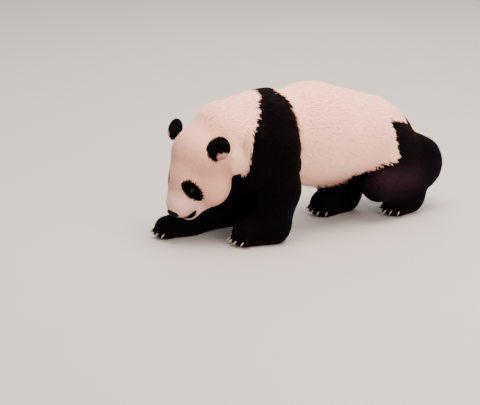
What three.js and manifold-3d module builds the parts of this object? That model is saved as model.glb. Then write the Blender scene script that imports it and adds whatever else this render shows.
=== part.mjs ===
// A giant panda cub about a year old, as a still life-size museum model.
// It walks low, hindquarters sunk, with its nose down over the outstretched right forearm.
//
// Millimetres, +Z up. The animal faces -Y and its left side is +X. The soles lie on Z = 0, and the
// origin is below the middle of the bounding box. Every surface is the one that the tips of the
// coat make. The body is one field of soft masses, meshed part by part and parted by thin cuts.

import * as THREE from 'three';
import * as BufferGeometryUtils from 'three/addons/utils/BufferGeometryUtils.js';
import Module from 'manifold-3d';

const wasm = await Module();
wasm.setup();

// ---------------------------------------------------------------- driving dimensions

const GAP = 0.4;            // left between two parts that touch
const SLIVER = 0.05;        // facets thinner than this are melted into their neighbours
const FAR = 2000;           // half size of the blocks that stand for half-spaces

const CELL = { trunk: 40, neck: 36, head: 23, limb: 34, paw: 27, tail: 20 };   // facet sizes

const EAR_SPREAD = 99;      // ear centre to the middle of the head
const EAR_RADII = [33, 34, 15];
const EYE_PLACE = [131, 47, 1];   // along, across and above the line from ears to nose
const EYE_RADIUS = 9;
const EYE_DEPTH = 5;        // front of the eyeball below the tips of the coat
const NOSE_PLACE = [212, 0, -6];
const NOSE_RADII = [9, 21, 13];
const CLAW_LENGTH = 21;
const CLAW_RADIUS = 3.6;
const WRIST_HEIGHT = 74;    // of the cut between leg and paw, above the heel
const TOE_RADII = [19, 11, 14];   // along, across and up
const FLESH_BLEND = { neck: 40, head: 26, joint: 30, skin: 4, tail: 14, reach: 130 };

const WHITE = 0xe8d6cc;
const BLACK = 0x1d191c;
const HORN = 0xb9ad9c;

// ---------------------------------------------------------------- vectors and head frame

const vec = (x, y, z) => new THREE.Vector3(x, y, z);
const from = ([x, y, z]) => vec(x, y, z);

const EAR_MIDDLE = vec(-15.5, -124.5, 292);
const TO_NOSE = vec(-0.0364, -0.3491, -0.9366).normalize();
const TO_LEFT = vec(0.988, 0.1255, -0.085);
TO_LEFT.addScaledVector(TO_NOSE, -TO_LEFT.dot(TO_NOSE)).normalize();
const TO_BROW = new THREE.Vector3().crossVectors(TO_NOSE, TO_LEFT);
const HEAD_AXES = [TO_NOSE, TO_LEFT, TO_BROW];

// A place on the head: along the line from ears to nose, across to the left, and above the line.
function onHead(along, across, above) {
  return EAR_MIDDLE.clone()
    .addScaledVector(TO_NOSE, along)
    .addScaledVector(TO_LEFT, across)
    .addScaledVector(TO_BROW, above);
}

// ---------------------------------------------------------------- fields: distance to a surface

// An ellipsoid, optionally turned so that its radii lie along three unit axes.
function ellipsoid(centre, radii, axes = null) {
  const [rx, ry, rz] = radii;
  return (p) => {
    const dx = p.x - centre.x;
    const dy = p.y - centre.y;
    const dz = p.z - centre.z;
    let [a, b, c] = [dx, dy, dz];
    if (axes) [a, b, c] = axes.map((axis) => axis.x * dx + axis.y * dy + axis.z * dz);
    const near = Math.hypot(a / rx, b / ry, c / rz);
    const steep = Math.hypot(a / (rx * rx), b / (ry * ry), c / (rz * rz));
    return steep < 1e-9 ? -Math.min(rx, ry, rz) : (near * (near - 1)) / steep;
  };
}

// A round bar between two places, with a radius at each.
function bar(start, end, startRadius, endRadius) {
  const run = end.clone().sub(start);
  const runSquared = run.lengthSq();
  const offset = new THREE.Vector3();
  return (p) => {
    offset.subVectors(p, start);
    const t = THREE.MathUtils.clamp(offset.dot(run) / runSquared, 0, 1);
    return offset.addScaledVector(run, -t).length() - THREE.MathUtils.lerp(startRadius, endRadius, t);
  };
}

// Masses that swell into each other inside one part of the body.
function fuse(softness, fields) {
  return (p) => {
    const values = fields.map((field) => field(p));
    const least = Math.min(...values);
    const sum = values.reduce((total, value) => total + Math.exp((least - value) / softness), 0);
    return least - softness * Math.log(sum);
  };
}

// Two parts joined by a fillet of the given width.
function blend(a, b, width) {
  const h = Math.max(width - Math.abs(a - b), 0) / width;
  return Math.min(a, b) - (h * h * width) / 4;
}

// ---------------------------------------------------------------- masses of the body

const trunk = fuse(16, [
  ellipsoid(vec(0, 98, 298), [108, 112, 116]),      // withers
  ellipsoid(vec(0, 112, 232), [102, 118, 102]),     // chest
  ellipsoid(vec(0, 245, 265), [140, 150, 149]),     // ribs
  ellipsoid(vec(0, 345, 246), [142, 145, 134]),     // belly
  ellipsoid(vec(0, 452, 230), [126, 112, 118]),     // loins
  ellipsoid(vec(0, 518, 190), [106, 84, 106]),      // rump
  ellipsoid(vec(0, 592, 158), [64, 76, 78]),        // between the thighs
  ellipsoid(vec(-12, 62, 158), [66, 58, 74]),       // breast
]);

const neck = fuse(14, [
  ellipsoid(vec(-4, 24, 296), [100, 92, 104]),
  ellipsoid(vec(-12, -48, 304), [92, 72, 84]),
  bar(vec(-56, -32, 242), vec(58, -40, 242), 44, 44),   // ruff of the throat
]);

const head = fuse(9, [
  ellipsoid(onHead(36, 0, -46), [88, 101, 84], HEAD_AXES),      // cranium
  ellipsoid(onHead(106, 58, -65), [58, 46, 52], HEAD_AXES),     // left cheek
  ellipsoid(onHead(106, -58, -65), [58, 46, 52], HEAD_AXES),    // right cheek
  ellipsoid(onHead(146, 32, -60), [38, 31, 33], HEAD_AXES),     // left jowl
  ellipsoid(onHead(146, -32, -60), [38, 31, 33], HEAD_AXES),    // right jowl
  ellipsoid(onHead(104, 0, -18), [64, 62, 50], HEAD_AXES),      // brow
  ellipsoid(onHead(148, 0, -22), [44, 42, 37], HEAD_AXES),      // bridge
  ellipsoid(onHead(180, 0, -17), [41, 42, 32], HEAD_AXES),      // muzzle
  ellipsoid(onHead(178, 0, -58), [45, 39, 29], HEAD_AXES),      // jaw
]);

// Ears face forward and a little outward. side is 1 for the left ear and -1 for the right.
function earFrame(side) {
  const facing = TO_BROW.clone().addScaledVector(TO_LEFT, 0.22 * side).normalize();
  const across = TO_LEFT.clone().addScaledVector(facing, -TO_LEFT.dot(facing)).normalize();
  const along = new THREE.Vector3().crossVectors(across, facing);
  return { centre: onHead(-4, EAR_SPREAD * side, -6), axes: [along, across, facing] };
}

const tail = bar(vec(0, 604, 214), vec(0, 664, 168), 26, 20);

// Each leg has a joint that it swells out of, the masses down to the ankle, and a paw.
// A paw runs from heel to ball. Its cut from the leg leans forward by the slope given.
const LEGS = {
  foreleg_left: {
    joint: vec(90, 75, 300),
    masses: [
      ellipsoid(vec(72, 78, 300), [56, 66, 92]),
      bar(vec(82, 10, 285), vec(92, 10, 205), 52, 48),
      bar(vec(94, 74, 270), vec(110, 72, 150), 62, 54),
      bar(vec(110, 74, 150), vec(104, 54, 60), 53, 50),
    ],
    paw: { heel: vec(102, 50, 40), ball: vec(88, -26, 33), heelRadius: 47, ballRadius: 41, lean: 0.5 },
  },
  foreleg_right: {
    joint: vec(-90, 75, 290),
    masses: [
      ellipsoid(vec(-72, 70, 300), [56, 66, 92]),
      bar(vec(-82, 10, 285), vec(-92, 6, 205), 52, 48),
      bar(vec(-92, 54, 260), vec(-72, 58, 92), 60, 54),
      bar(vec(-66, 56, 57), vec(-84, -104, 38), 52, 36),
    ],
    paw: { heel: vec(-86, -104, 35), ball: vec(-94, -174, 28), heelRadius: 35, ballRadius: 35, lean: 0.5 },
  },
  hindleg_left: {
    joint: vec(70, 520, 190),
    masses: [
      ellipsoid(vec(68, 494, 165), [60, 100, 80]),
      ellipsoid(vec(54, 604, 138), [66, 79, 85]),
      bar(vec(94, 425, 106), vec(76, 556, 76), 51, 47),
    ],
    paw: { heel: vec(70, 560, 40), ball: vec(76, 508, 31), heelRadius: 43, ballRadius: 39, lean: 0.1 },
  },
  hindleg_right: {
    joint: vec(-70, 500, 190),
    masses: [
      ellipsoid(vec(-68, 466, 165), [60, 100, 80]),
      ellipsoid(vec(-54, 600, 138), [64, 76, 81]),
      bar(vec(-78, 356, 112), vec(-54, 436, 76), 50, 46),
    ],
    paw: { heel: vec(-46, 412, 38), ball: vec(-36, 328, 32), heelRadius: 44, ballRadius: 43, lean: 0.1 },
  },
};

for (const leg of Object.values(LEGS)) {
  const { heel, ball, heelRadius, ballRadius } = leg.paw;
  leg.paw.field = bar(heel, ball, heelRadius, ballRadius);
  leg.field = fuse(12, [...leg.masses, leg.paw.field]);
}

// The torso without legs: trunk, neck and head.
function torso(p) {
  const shoulders = blend(trunk(p), neck(p), FLESH_BLEND.neck);
  return blend(shoulders, head(p), FLESH_BLEND.head);
}

// A leg joined to what is given: a broad swell at its joint that dies away down the leg.
function withLeg(leg, value, p) {
  const away = p.distanceTo(leg.joint) / FLESH_BLEND.reach;
  const width = FLESH_BLEND.skin + FLESH_BLEND.joint * Math.exp(-away * away);
  return blend(value, leg.field(p), width);
}

function torsoWithLegs(p) {
  const whole = Object.values(LEGS).reduce((value, leg) => withLeg(leg, value, p), torso(p));
  return blend(whole, tail(p), FLESH_BLEND.tail);
}

function oneLeg(leg) {
  return (p) => withLeg(leg, blend(trunk(p), neck(p), FLESH_BLEND.neck), p);
}

// ---------------------------------------------------------------- meshing a field

const CORNERS = [0, 1, 2, 3, 4, 5, 6, 7].map((i) => [i & 1, (i >> 1) & 1, (i >> 2) & 1]);
const EDGES = [];
for (let i = 0; i < 8; i += 1) {
  for (const bit of [1, 2, 4]) {
    if (!(i & bit)) EDGES.push([i, i | bit]);
  }
}

// Moves a point on to the surface where the field is zero, by at most a fraction of a cell.
function settle(field, point, cell) {
  const step = cell / 50;
  const probe = new THREE.Vector3();
  for (let round = 0; round < 3; round += 1) {
    const value = field(point);
    const slope = vec(0, 0, 0);
    for (const axis of ['x', 'y', 'z']) {
      probe.copy(point)[axis] += step;
      slope[axis] = (field(probe) - value) / step;
    }
    const move = THREE.MathUtils.clamp(-value / Math.max(slope.lengthSq(), 0.2), -cell / 3, cell / 3);
    point.addScaledVector(slope, move);
  }
  return point;
}

// Groups the inside corners of a cell: corners joined by an edge of the cell share a group.
function cornerGroups(corner) {
  const group = CORNERS.map((_, i) => i);
  for (let round = 0; round < 4; round += 1) {
    for (const [u, v] of EDGES) {
      if (corner[u] < 0 && corner[v] < 0) group[u] = group[v] = Math.min(group[u], group[v]);
    }
  }
  return group;
}

// A closed mesh of the field's zero surface in a box: one vertex in each cell for each sheet of
// the surface that crosses it, and one facet pair across each grid edge that the surface cuts.
function meshField(field, box, cell) {
  const size = box.getSize(new THREE.Vector3());
  const [nx, ny, nz] = ['x', 'y', 'z'].map((axis) => Math.ceil(size[axis] / cell) + 3);
  const gridPoint = (i, j, k) => vec(i - 1, j - 1, k - 1).multiplyScalar(cell).add(box.min);
  const index = (i, j, k) => (k * ny + j) * nx + i;
  const rim = (i, n) => i === 0 || i === n - 1;
  const values = new Float64Array(nx * ny * nz);
  for (let k = 0; k < nz; k += 1) {
    for (let j = 0; j < ny; j += 1) {
      for (let i = 0; i < nx; i += 1) {
        const value = field(gridPoint(i, j, k));
        const outside = rim(i, nx) || rim(j, ny) || rim(k, nz);
        values[index(i, j, k)] = outside ? Math.max(value, cell / 2) : value || 1e-6;
      }
    }
  }
  const vertices = [];
  const sheetVertex = new Int32Array(nx * ny * nz * 8).fill(-1);
  for (let k = 0; k < nz - 1; k += 1) {
    for (let j = 0; j < ny - 1; j += 1) {
      for (let i = 0; i < nx - 1; i += 1) {
        const corner = CORNERS.map(([a, b, c]) => values[index(i + a, j + b, k + c)]);
        const inside = corner.filter((value) => value < 0).length;
        if (inside === 0 || inside === 8) continue;
        const group = cornerGroups(corner);
        const onRim = [[i, nx], [j, ny], [k, nz]].some(([n, total]) => n === 0 || n === total - 2);
        for (const sheet of new Set(group.filter((_, c) => corner[c] < 0))) {
          const middle = vec(0, 0, 0);
          let crossings = 0;
          for (const [u, v] of EDGES) {
            if (corner[u] < 0 === corner[v] < 0) continue;
            if (group[corner[u] < 0 ? u : v] !== sheet) continue;
            const t = corner[u] / (corner[u] - corner[v]);
            middle.add(from(CORNERS[u]).lerp(from(CORNERS[v]), t));
            crossings += 1;
          }
          if (crossings === 0) continue;
          middle.multiplyScalar(cell / crossings).add(gridPoint(i, j, k));
          if (!onRim) settle(field, middle, cell);
          for (let c = 0; c < 8; c += 1) {
            if (corner[c] < 0 && group[c] === sheet) {
              sheetVertex[index(i, j, k) * 8 + c] = vertices.length;
            }
          }
          vertices.push(middle);
        }
      }
    }
  }
  const triangles = [];
  const addFacets = (start, axis) => {
    const end = start.map((n, a) => n + (a === axis ? 1 : 0));
    const [startInside, endInside] = [start, end].map((n) => values[index(...n)] < 0);
    if (startInside === endInside) return;
    const inner = startInside ? start : end;
    const [u, v] = [(axis + 1) % 3, (axis + 2) % 3];
    const quad = [[1, 1], [0, 1], [0, 0], [1, 0]].map(([a, b]) => {
      const cellAt = [...start];
      cellAt[u] -= a;
      cellAt[v] -= b;
      const local = inner.map((n, w) => n - cellAt[w]);
      return sheetVertex[index(...cellAt) * 8 + local[0] + 2 * local[1] + 4 * local[2]];
    });
    if (endInside) quad.reverse();
    const [a, b, c, d] = quad;
    const across = (p, q) => vertices[p].distanceTo(vertices[q]);
    if (across(a, c) < across(b, d)) triangles.push(a, b, c, a, c, d);
    else triangles.push(a, b, d, b, c, d);
  };
  for (let k = 0; k < nz - 1; k += 1) {
    for (let j = 0; j < ny - 1; j += 1) {
      for (let i = 0; i < nx - 1; i += 1) {
        for (const axis of [0, 1, 2]) addFacets([i, j, k], axis);
      }
    }
  }
  const geometry = new THREE.BufferGeometry();
  const positions = vertices.flatMap((vertex) => vertex.toArray());
  geometry.setAttribute('position', new THREE.Float32BufferAttribute(positions, 3));
  geometry.setIndex(triangles);
  return geometry;
}

// ---------------------------------------------------------------- solids: joining and cutting

function toSolid(geometry) {
  const bare = geometry.clone();
  bare.deleteAttribute('normal');
  bare.deleteAttribute('uv');
  const merged = BufferGeometryUtils.mergeVertices(bare, 1e-4);
  return new wasm.Manifold(new wasm.Mesh({
    numProp: 3,
    vertProperties: Float32Array.from(merged.attributes.position.array),
    triVerts: Uint32Array.from(merged.index.array),
  }));
}

function toGeometry(solid) {
  const { vertProperties, triVerts } = solid.getMesh();
  const geometry = new THREE.BufferGeometry();
  geometry.setAttribute('position', new THREE.Float32BufferAttribute(vertProperties, 3));
  geometry.setIndex([...triVerts]);
  geometry.computeVertexNormals();
  return geometry;
}

// Everything on the side of a plane that its normal points to, shifted by a distance.
function halfSpace(point, normal, shift = 0) {
  const block = new THREE.BoxGeometry(2 * FAR, 2 * FAR, 2 * FAR);
  const turn = new THREE.Quaternion().setFromUnitVectors(vec(0, 0, 1), normal.clone().normalize());
  block.applyQuaternion(turn);
  const centre = point.clone().addScaledVector(normal.clone().normalize(), FAR + shift);
  block.translate(centre.x, centre.y, centre.z);
  return toSolid(block);
}

// A ball stretched to three radii along three axes, grown all round by an allowance.
function roundSolid(centre, radii, axes, grow = 0, around = 16, rings = 10) {
  const ball = new THREE.SphereGeometry(1, around, rings);
  const [a, b, c] = radii.map((radius) => radius + grow);
  const matrix = new THREE.Matrix4().makeBasis(
    axes[0].clone().multiplyScalar(a),
    axes[1].clone().multiplyScalar(b),
    axes[2].clone().multiplyScalar(c),
  );
  ball.applyMatrix4(matrix.setPosition(centre));
  return toSolid(ball);
}

const flip = (normal) => normal.clone().negate();
const halfPast = ({ point, normal }, shift = 0) => halfSpace(point, normal, shift);
const halfBefore = ({ point, normal }) => halfSpace(point, flip(normal));

const WORLD_AXES = [vec(1, 0, 0), vec(0, 1, 0), vec(0, 0, 1)];
const FLOOR = halfSpace(vec(0, 0, 0), vec(0, 0, 1));

// ---------------------------------------------------------------- cuts between the parts

// The yoke is the black band over the shoulders. Both its edges lean forward as they go down.
const YOKE_FRONT = { point: vec(0, 60, 414), normal: vec(0, 1, -0.6) };
const YOKE_BACK = { point: vec(0, 118, 405), normal: vec(0, 1, 0.2) };
const NAPE = { point: vec(-21, -55, 300), normal: vec(0.12, 0.57, 0.81) };
const THROAT = { point: onHead(106, 0, -119), normal: TO_BROW.clone() };
const CHIN = { point: vec(-68, -150, 68), normal: vec(0.3, -0.35, 0.89) };   // above the right forearm
const CHEEK_WIDTH = 112;

function headRegion(grow = 0) {
  return between([
    { point: NAPE.point, normal: flip(NAPE.normal) },
    THROAT,
    CHIN,
    { point: onHead(0, CHEEK_WIDTH, 0), normal: flip(TO_LEFT) },
    { point: onHead(0, -CHEEK_WIDTH, 0), normal: TO_LEFT },
  ], grow);
}

// What lies on the inner side of every one of a list of planes, drawn in by an allowance.
function between(planes, grow = 0) {
  return planes
    .map(({ point, normal }) => halfSpace(point, normal, -grow))
    .reduce((whole, part) => whole.intersect(part));
}

// A foreleg is parted from the chest by a plane that leans outward, and from the ribs behind it.
// A hind leg takes in its half of the rump, behind the slanting edge of the white back.
function legRegion(name, grow = 0) {
  const side = name.endsWith('left') ? 1 : -1;
  if (name.startsWith('foreleg')) {
    return between([
      { point: vec(62 * side, 0, 200), normal: vec(side, 0, -0.42) },
      { point: vec(0, 152, 0), normal: vec(0, -1, 0) },
      { point: vec(110 * side, 0, 300), normal: vec(-0.35 * side, 0, -1) },
    ], grow);
  }
  const middle = { point: vec(0.5 * GAP * side, 0, 0), normal: vec(side, 0, 0) };
  const under = [
    middle,
    { point: vec(0, 440, 158), normal: vec(0, 0.2, -1) },
    { point: vec(0, side > 0 ? 366 : 250, 0), normal: vec(0, 1, 0) },
  ];
  const behind = [
    middle,
    { point: vec(0, 545, 0), normal: vec(0.65 * side, 1, 0) },
    { point: vec(0, 460, 296), normal: vec(0, -0.3, -1) },
  ];
  return between(under, grow).add(between(behind, grow));
}

function tailRegion(grow = 0) {
  return roundSolid(vec(0, 646, 186), [34, 58, 52], WORLD_AXES, grow, 12, 8);
}

function earSolid(side, grow = 0) {
  const { centre, axes } = earFrame(side);
  return roundSolid(centre, EAR_RADII, axes, grow, 12, 7);
}

// ---------------------------------------------------------------- claws and toes

// The way a paw points, along the floor, and the way across it to the left.
function pawFrame(paw) {
  const ahead = paw.ball.clone().sub(paw.heel).setZ(0).normalize();
  return { ahead, across: vec(-ahead.y, ahead.x, 0) };
}

// Five toes round the front of the paw, the middle one farthest forward.
function toePlaces(paw) {
  const { ahead, across } = pawFrame(paw);
  return [-2, -1, 0, 1, 2].map((n) => {
    const turn = n * 0.2;
    const facing = ahead.clone().applyAxisAngle(vec(0, 0, 1), turn);
    const place = paw.ball.clone().setZ(17)
      .addScaledVector(across, n * paw.ballRadius * 0.4)
      .addScaledVector(ahead, paw.ballRadius * (0.62 - 0.1 * n * n));
    return { place, facing, across: vec(-facing.y, facing.x, 0) };
  });
}

function toeSolid({ place, facing, across }) {
  return roundSolid(place, TOE_RADII, [facing, across, vec(0, 0, 1)], 0, 7, 5);
}

// A claw is a cone of rings that curves down from the tip of its toe.
function clawGeometry({ place, facing, across }, grow = 0) {
  const root = place.clone().addScaledVector(facing, TOE_RADII[0] - 7).setZ(place.z + 3);
  const sides = 5;
  const rings = 3;
  const positions = [];
  const triangles = [];
  for (let r = 0; r < rings; r += 1) {
    const t = r / rings;
    const centre = root.clone()
      .addScaledVector(facing, CLAW_LENGTH * (t - 0.12 * t * t) - grow * (r === 0))
      .add(vec(0, 0, -9 * t * t));
    const radius = CLAW_RADIUS * Math.sqrt(1 - 0.82 * t) + grow;
    for (let s = 0; s < sides; s += 1) {
      const angle = (2 * Math.PI * s) / sides;
      const point = centre.clone()
        .addScaledVector(across, radius * 0.8 * Math.cos(angle))
        .add(vec(0, 0, radius * Math.sin(angle)));
      positions.push(...point.toArray());
    }
  }
  const tip = root.clone().addScaledVector(facing, CLAW_LENGTH * 0.88 + grow).add(vec(0, 0, -9));
  positions.push(...tip.toArray(), ...root.clone().addScaledVector(facing, -grow).toArray());
  const last = sides * rings;
  for (let s = 0; s < sides; s += 1) {
    const next = (s + 1) % sides;
    for (let r = 0; r < rings - 1; r += 1) {
      const [a, b] = [r * sides + s, r * sides + next];
      triangles.push(a, b, a + sides, b, b + sides, a + sides);
    }
    triangles.push(last - sides + s, last - sides + next, last, next, s, last + 1);
  }
  const geometry = new THREE.BufferGeometry();
  geometry.setAttribute('position', new THREE.Float32BufferAttribute(positions, 3));
  geometry.setIndex(triangles);
  return geometry;
}

// ---------------------------------------------------------------- the named parts

const model = new THREE.Group();

function addPart(name, solid, color, roughness = 0.9) {
  const material = new THREE.MeshStandardMaterial({ color, roughness, metalness: 0 });
  const clean = largest(solid).simplify(SLIVER);
  const mesh = new THREE.Mesh(toGeometry(clean), material);
  mesh.name = name;
  model.add(mesh);
}

function boxAround(low, high) {
  return new THREE.Box3(from(low), from(high));
}

// The largest of the separate shells of a solid, without crumbs and sealed hollows.
function largest(solid) {
  return solid.decompose().reduce((a, b) => (a.volume() > b.volume() ? a : b));
}

const fieldSolid = (field, box, cell) => largest(toSolid(meshField(field, box, cell)));
const legNames = Object.keys(LEGS);
const sideName = { 1: 'left', '-1': 'right' };

// Eyes sit in sockets, and the nose pad is let into the tip of the muzzle.
function addFace() {
  let skull = fieldSolid(torso, boxAround([-200, -300, 60], [180, 60, 420]), CELL.head)
    .intersect(headRegion());
  for (const side of [1, -1]) {
    skull = skull.subtract(earSolid(side, GAP));
    const [along, across, above] = EYE_PLACE;
    const rim = settle((p) => torso(p), onHead(along, across * side, above), 40);
    const outward = TO_BROW.clone().addScaledVector(TO_LEFT, 0.75 * side).normalize();
    const sideways = TO_LEFT.clone().addScaledVector(outward, -TO_LEFT.dot(outward)).normalize();
    const axes = [new THREE.Vector3().crossVectors(sideways, outward), sideways, outward];
    const centre = rim.clone().addScaledVector(outward, -EYE_DEPTH - EYE_RADIUS);
    const ball = (grow) => roundSolid(centre, [EYE_RADIUS, EYE_RADIUS, EYE_RADIUS], axes, grow, 8, 6);
    addPart(`eye_${sideName[side]}`, ball(0), 0x0d0a0a, 0.15);
    const socket = roundSolid(rim, [7, 9, EYE_DEPTH + 6], axes, 0, 12, 8);
    skull = skull.subtract(ball(GAP)).subtract(socket);
  }
  const nose = (grow) => roundSolid(onHead(...NOSE_PLACE), NOSE_RADII, HEAD_AXES, grow, 8, 6);
  addPart('nose_pad', nose(0), 0x17130f, 0.5);
  addPart('head', skull.subtract(nose(GAP)), WHITE);
}

// An ear is a thick round leaf with a shallow hollow in front.
function addEars() {
  for (const side of [1, -1]) {
    const { centre, axes } = earFrame(side);
    const leaf = earSolid(side);
    const bowl = centre.clone().addScaledVector(axes[2], EAR_RADII[2] + 10);
    const hollow = roundSolid(bowl, [24, 25, 15], axes, 0, 8, 5);
    addPart(`ear_${sideName[side]}`, leaf.subtract(hollow), BLACK);
  }
}

function addTorso() {
  const box = boxAround([-200, -170, 20], [200, 760, 460]);
  const space = legNames.map((name) => legRegion(name, GAP));
  space.push(tailRegion(GAP));
  const cut = (solid) => space.reduce((rest, region) => rest.subtract(region), solid);
  const fine = cut(fieldSolid(torsoWithLegs, box, CELL.neck)).subtract(headRegion(GAP));
  const coarse = cut(fieldSolid(torsoWithLegs, box, CELL.trunk));
  addPart('neck', fine.intersect(halfBefore(YOKE_FRONT)), WHITE);
  addPart('shoulders', fine.intersect(halfPast(YOKE_FRONT, GAP)).intersect(halfBefore(YOKE_BACK)), BLACK);
  const body = coarse.intersect(halfPast(YOKE_BACK, GAP));
  addPart('trunk', body, WHITE);
}

// The tail is short and broad and lies against the rump.
function addTail() {
  const box = boxAround([-60, 560, 100], [60, 740, 280]);
  addPart('tail', fieldSolid(torsoWithLegs, box, CELL.tail).intersect(tailRegion()), WHITE);
}

// A leg ends at the wrist or ankle, and its paw carries five toes with a claw each.
function addLeg(name) {
  const leg = LEGS[name];
  const { paw } = leg;
  const { ahead } = pawFrame(paw);
  const low = vec(-230, -320, -12);
  const high = vec(230, 760, 460);
  const own = legRegion(name).subtract(headRegion(GAP)).subtract(tailRegion(GAP));
  const pawRegion = (grow) => between([
    { point: paw.heel.clone().setZ(WRIST_HEIGHT), normal: vec(0, 0, -1).addScaledVector(ahead, paw.lean) },
    { point: paw.heel.clone().addScaledVector(ahead, -paw.heelRadius - 6), normal: ahead },
  ], grow);
  const whole = fieldSolid(oneLeg(leg), new THREE.Box3(low, high), CELL.limb).intersect(own);
  addPart(name, whole.subtract(pawRegion(GAP)).intersect(FLOOR), BLACK);
  const pawBox = new THREE.Box3().setFromPoints([paw.heel, paw.ball]).expandByScalar(80);
  let foot = fieldSolid(oneLeg(leg), pawBox, CELL.paw).intersect(own);
  const toes = toePlaces(paw);
  for (const toe of toes) foot = foot.add(toeSolid(toe));
  toes.forEach((toe, n) => {
    foot = foot.subtract(toSolid(clawGeometry(toe, GAP)));
    addPart(`${name.replace('leg', 'claw')}_${n + 1}`, toSolid(clawGeometry(toe)), HORN, 0.4);
  });
  const pawName = name.replace('foreleg', 'forepaw').replace('hindleg', 'hindpaw');
  addPart(pawName, foot.intersect(pawRegion(0)).intersect(FLOOR), BLACK);
}

addFace();
addEars();
addTorso();
addTail();
for (const name of legNames) addLeg(name);

// The origin is put below the middle of the whole animal.
const middle = new THREE.Box3().setFromObject(model).getCenter(vec(0, 0, 0));
for (const mesh of model.children) mesh.position.set(-middle.x, -middle.y, 0);

export default model;
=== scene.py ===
import math

import bpy
import numpy as np
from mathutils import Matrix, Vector


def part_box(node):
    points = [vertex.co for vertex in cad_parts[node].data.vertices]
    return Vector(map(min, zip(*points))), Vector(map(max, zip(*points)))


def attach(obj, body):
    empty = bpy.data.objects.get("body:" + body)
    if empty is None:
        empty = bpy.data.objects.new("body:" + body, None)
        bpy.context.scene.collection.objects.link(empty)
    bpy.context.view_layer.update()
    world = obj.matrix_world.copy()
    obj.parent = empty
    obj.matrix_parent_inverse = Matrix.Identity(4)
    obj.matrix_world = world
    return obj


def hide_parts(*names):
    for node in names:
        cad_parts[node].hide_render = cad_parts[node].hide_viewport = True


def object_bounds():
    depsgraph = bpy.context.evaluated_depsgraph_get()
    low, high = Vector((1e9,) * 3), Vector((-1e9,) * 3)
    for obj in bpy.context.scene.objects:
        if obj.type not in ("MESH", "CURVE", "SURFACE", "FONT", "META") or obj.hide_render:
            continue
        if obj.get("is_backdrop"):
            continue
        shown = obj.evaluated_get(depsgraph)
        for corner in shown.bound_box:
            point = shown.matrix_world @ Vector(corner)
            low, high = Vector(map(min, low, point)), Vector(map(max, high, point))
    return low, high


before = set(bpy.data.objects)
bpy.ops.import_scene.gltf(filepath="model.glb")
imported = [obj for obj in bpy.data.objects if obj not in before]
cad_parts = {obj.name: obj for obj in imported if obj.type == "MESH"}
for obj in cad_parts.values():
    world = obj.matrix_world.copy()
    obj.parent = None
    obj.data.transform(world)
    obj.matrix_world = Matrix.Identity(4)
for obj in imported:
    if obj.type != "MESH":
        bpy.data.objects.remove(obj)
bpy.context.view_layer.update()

# ======================================================================== viewpoint
# The model is looked at from its front left, from a little above its back, through a
# long lens, so that head, shoulder band, flank and hind paws are all in one view.

VIEW_AZIMUTH = math.radians(57)
VIEW_ELEVATION = math.radians(16)
VIEW_DISTANCE = 5.0
AIM_FROM_NOSE = Vector((-0.0319, 0.2409, -0.0154))
VIEW_LENS = 131.55
VIEW_SENSOR = 36.0
VIEW_REACH = 200.0

away = Vector((
    math.sin(VIEW_AZIMUTH) * math.cos(VIEW_ELEVATION),
    -math.cos(VIEW_AZIMUTH) * math.cos(VIEW_ELEVATION),
    math.sin(VIEW_ELEVATION),
))
viewpoint = bpy.data.objects.new("viewpoint", bpy.data.cameras.new("viewpoint"))
bpy.context.scene.collection.objects.link(viewpoint)
pad_low, pad_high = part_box("nose_pad")
pad_middle = (pad_low + pad_high) / 2
aim = pad_middle + AIM_FROM_NOSE
viewpoint.location = aim + VIEW_DISTANCE * away
viewpoint.rotation_euler = away.to_track_quat("Z", "Y").to_euler()
viewpoint.data.lens = VIEW_LENS
viewpoint.data.sensor_width = VIEW_SENSOR
viewpoint.data.clip_end = VIEW_REACH
bpy.context.scene.camera = viewpoint

# ======================================================================== museum floor
# The model stands on a plain pale floor of smooth painted board, a wide round sheet
# laid flat. A broad lamp in the ceiling, a window on the model's left and a faint lamp
# behind it light the pale room.

FLOOR_RADIUS = 40.0
FLOOR_RINGS = 24
FLOOR_SPOKES = 96
FLOOR_PALE = (0.385, 0.405, 0.405, 1)
FLOOR_SHADE = (0.365, 0.385, 0.385, 1)
FLOOR_CLOUDS = 3.0                    # clouds of shade in each metre


def joined_mesh(name, points, faces):
    """A mesh object from rows of points in metres and rows of equally sided faces."""
    mesh = bpy.data.meshes.new(name)
    faces = np.ascontiguousarray(faces, dtype=np.int32)
    mesh.vertices.add(len(points))
    mesh.vertices.foreach_set("co", np.asarray(points, np.float32).ravel())
    mesh.loops.add(faces.size)
    mesh.loops.foreach_set("vertex_index", faces.ravel())
    mesh.polygons.add(len(faces))
    starts = np.arange(0, faces.size, faces.shape[1], dtype=np.int32)
    mesh.polygons.foreach_set("loop_start", starts)
    mesh.polygons.foreach_set("use_smooth", np.ones(len(faces), bool))
    mesh.update(calc_edges=True)
    mesh.validate()
    piece = bpy.data.objects.new(name, mesh)
    bpy.context.scene.collection.objects.link(piece)
    return piece


def new_material(name):
    """An empty node material with its Principled shader, ready to be wired."""
    material = bpy.data.materials.new(name)
    material.use_nodes = True
    shader = material.node_tree.nodes["Principled BSDF"]
    return material, material.node_tree, shader


def add_node(tree, kind, **settings):
    node = tree.nodes.new(kind)
    for key, value in settings.items():
        setattr(node, key, value)
    return node


def mixed(tree, factor, first, second, blend_type="MIX"):
    """Two colours, each a socket or a fixed colour, mixed by a number from 0 to 1."""
    mix = add_node(tree, "ShaderNodeMix", data_type="RGBA", blend_type=blend_type)
    tree.links.new(factor, mix.inputs["Factor"])
    for label, colour in (("A", first), ("B", second)):
        if isinstance(colour, tuple):
            mix.inputs[label].default_value = colour
        else:
            tree.links.new(colour, mix.inputs[label])
    return mix.outputs["Result"]


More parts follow.
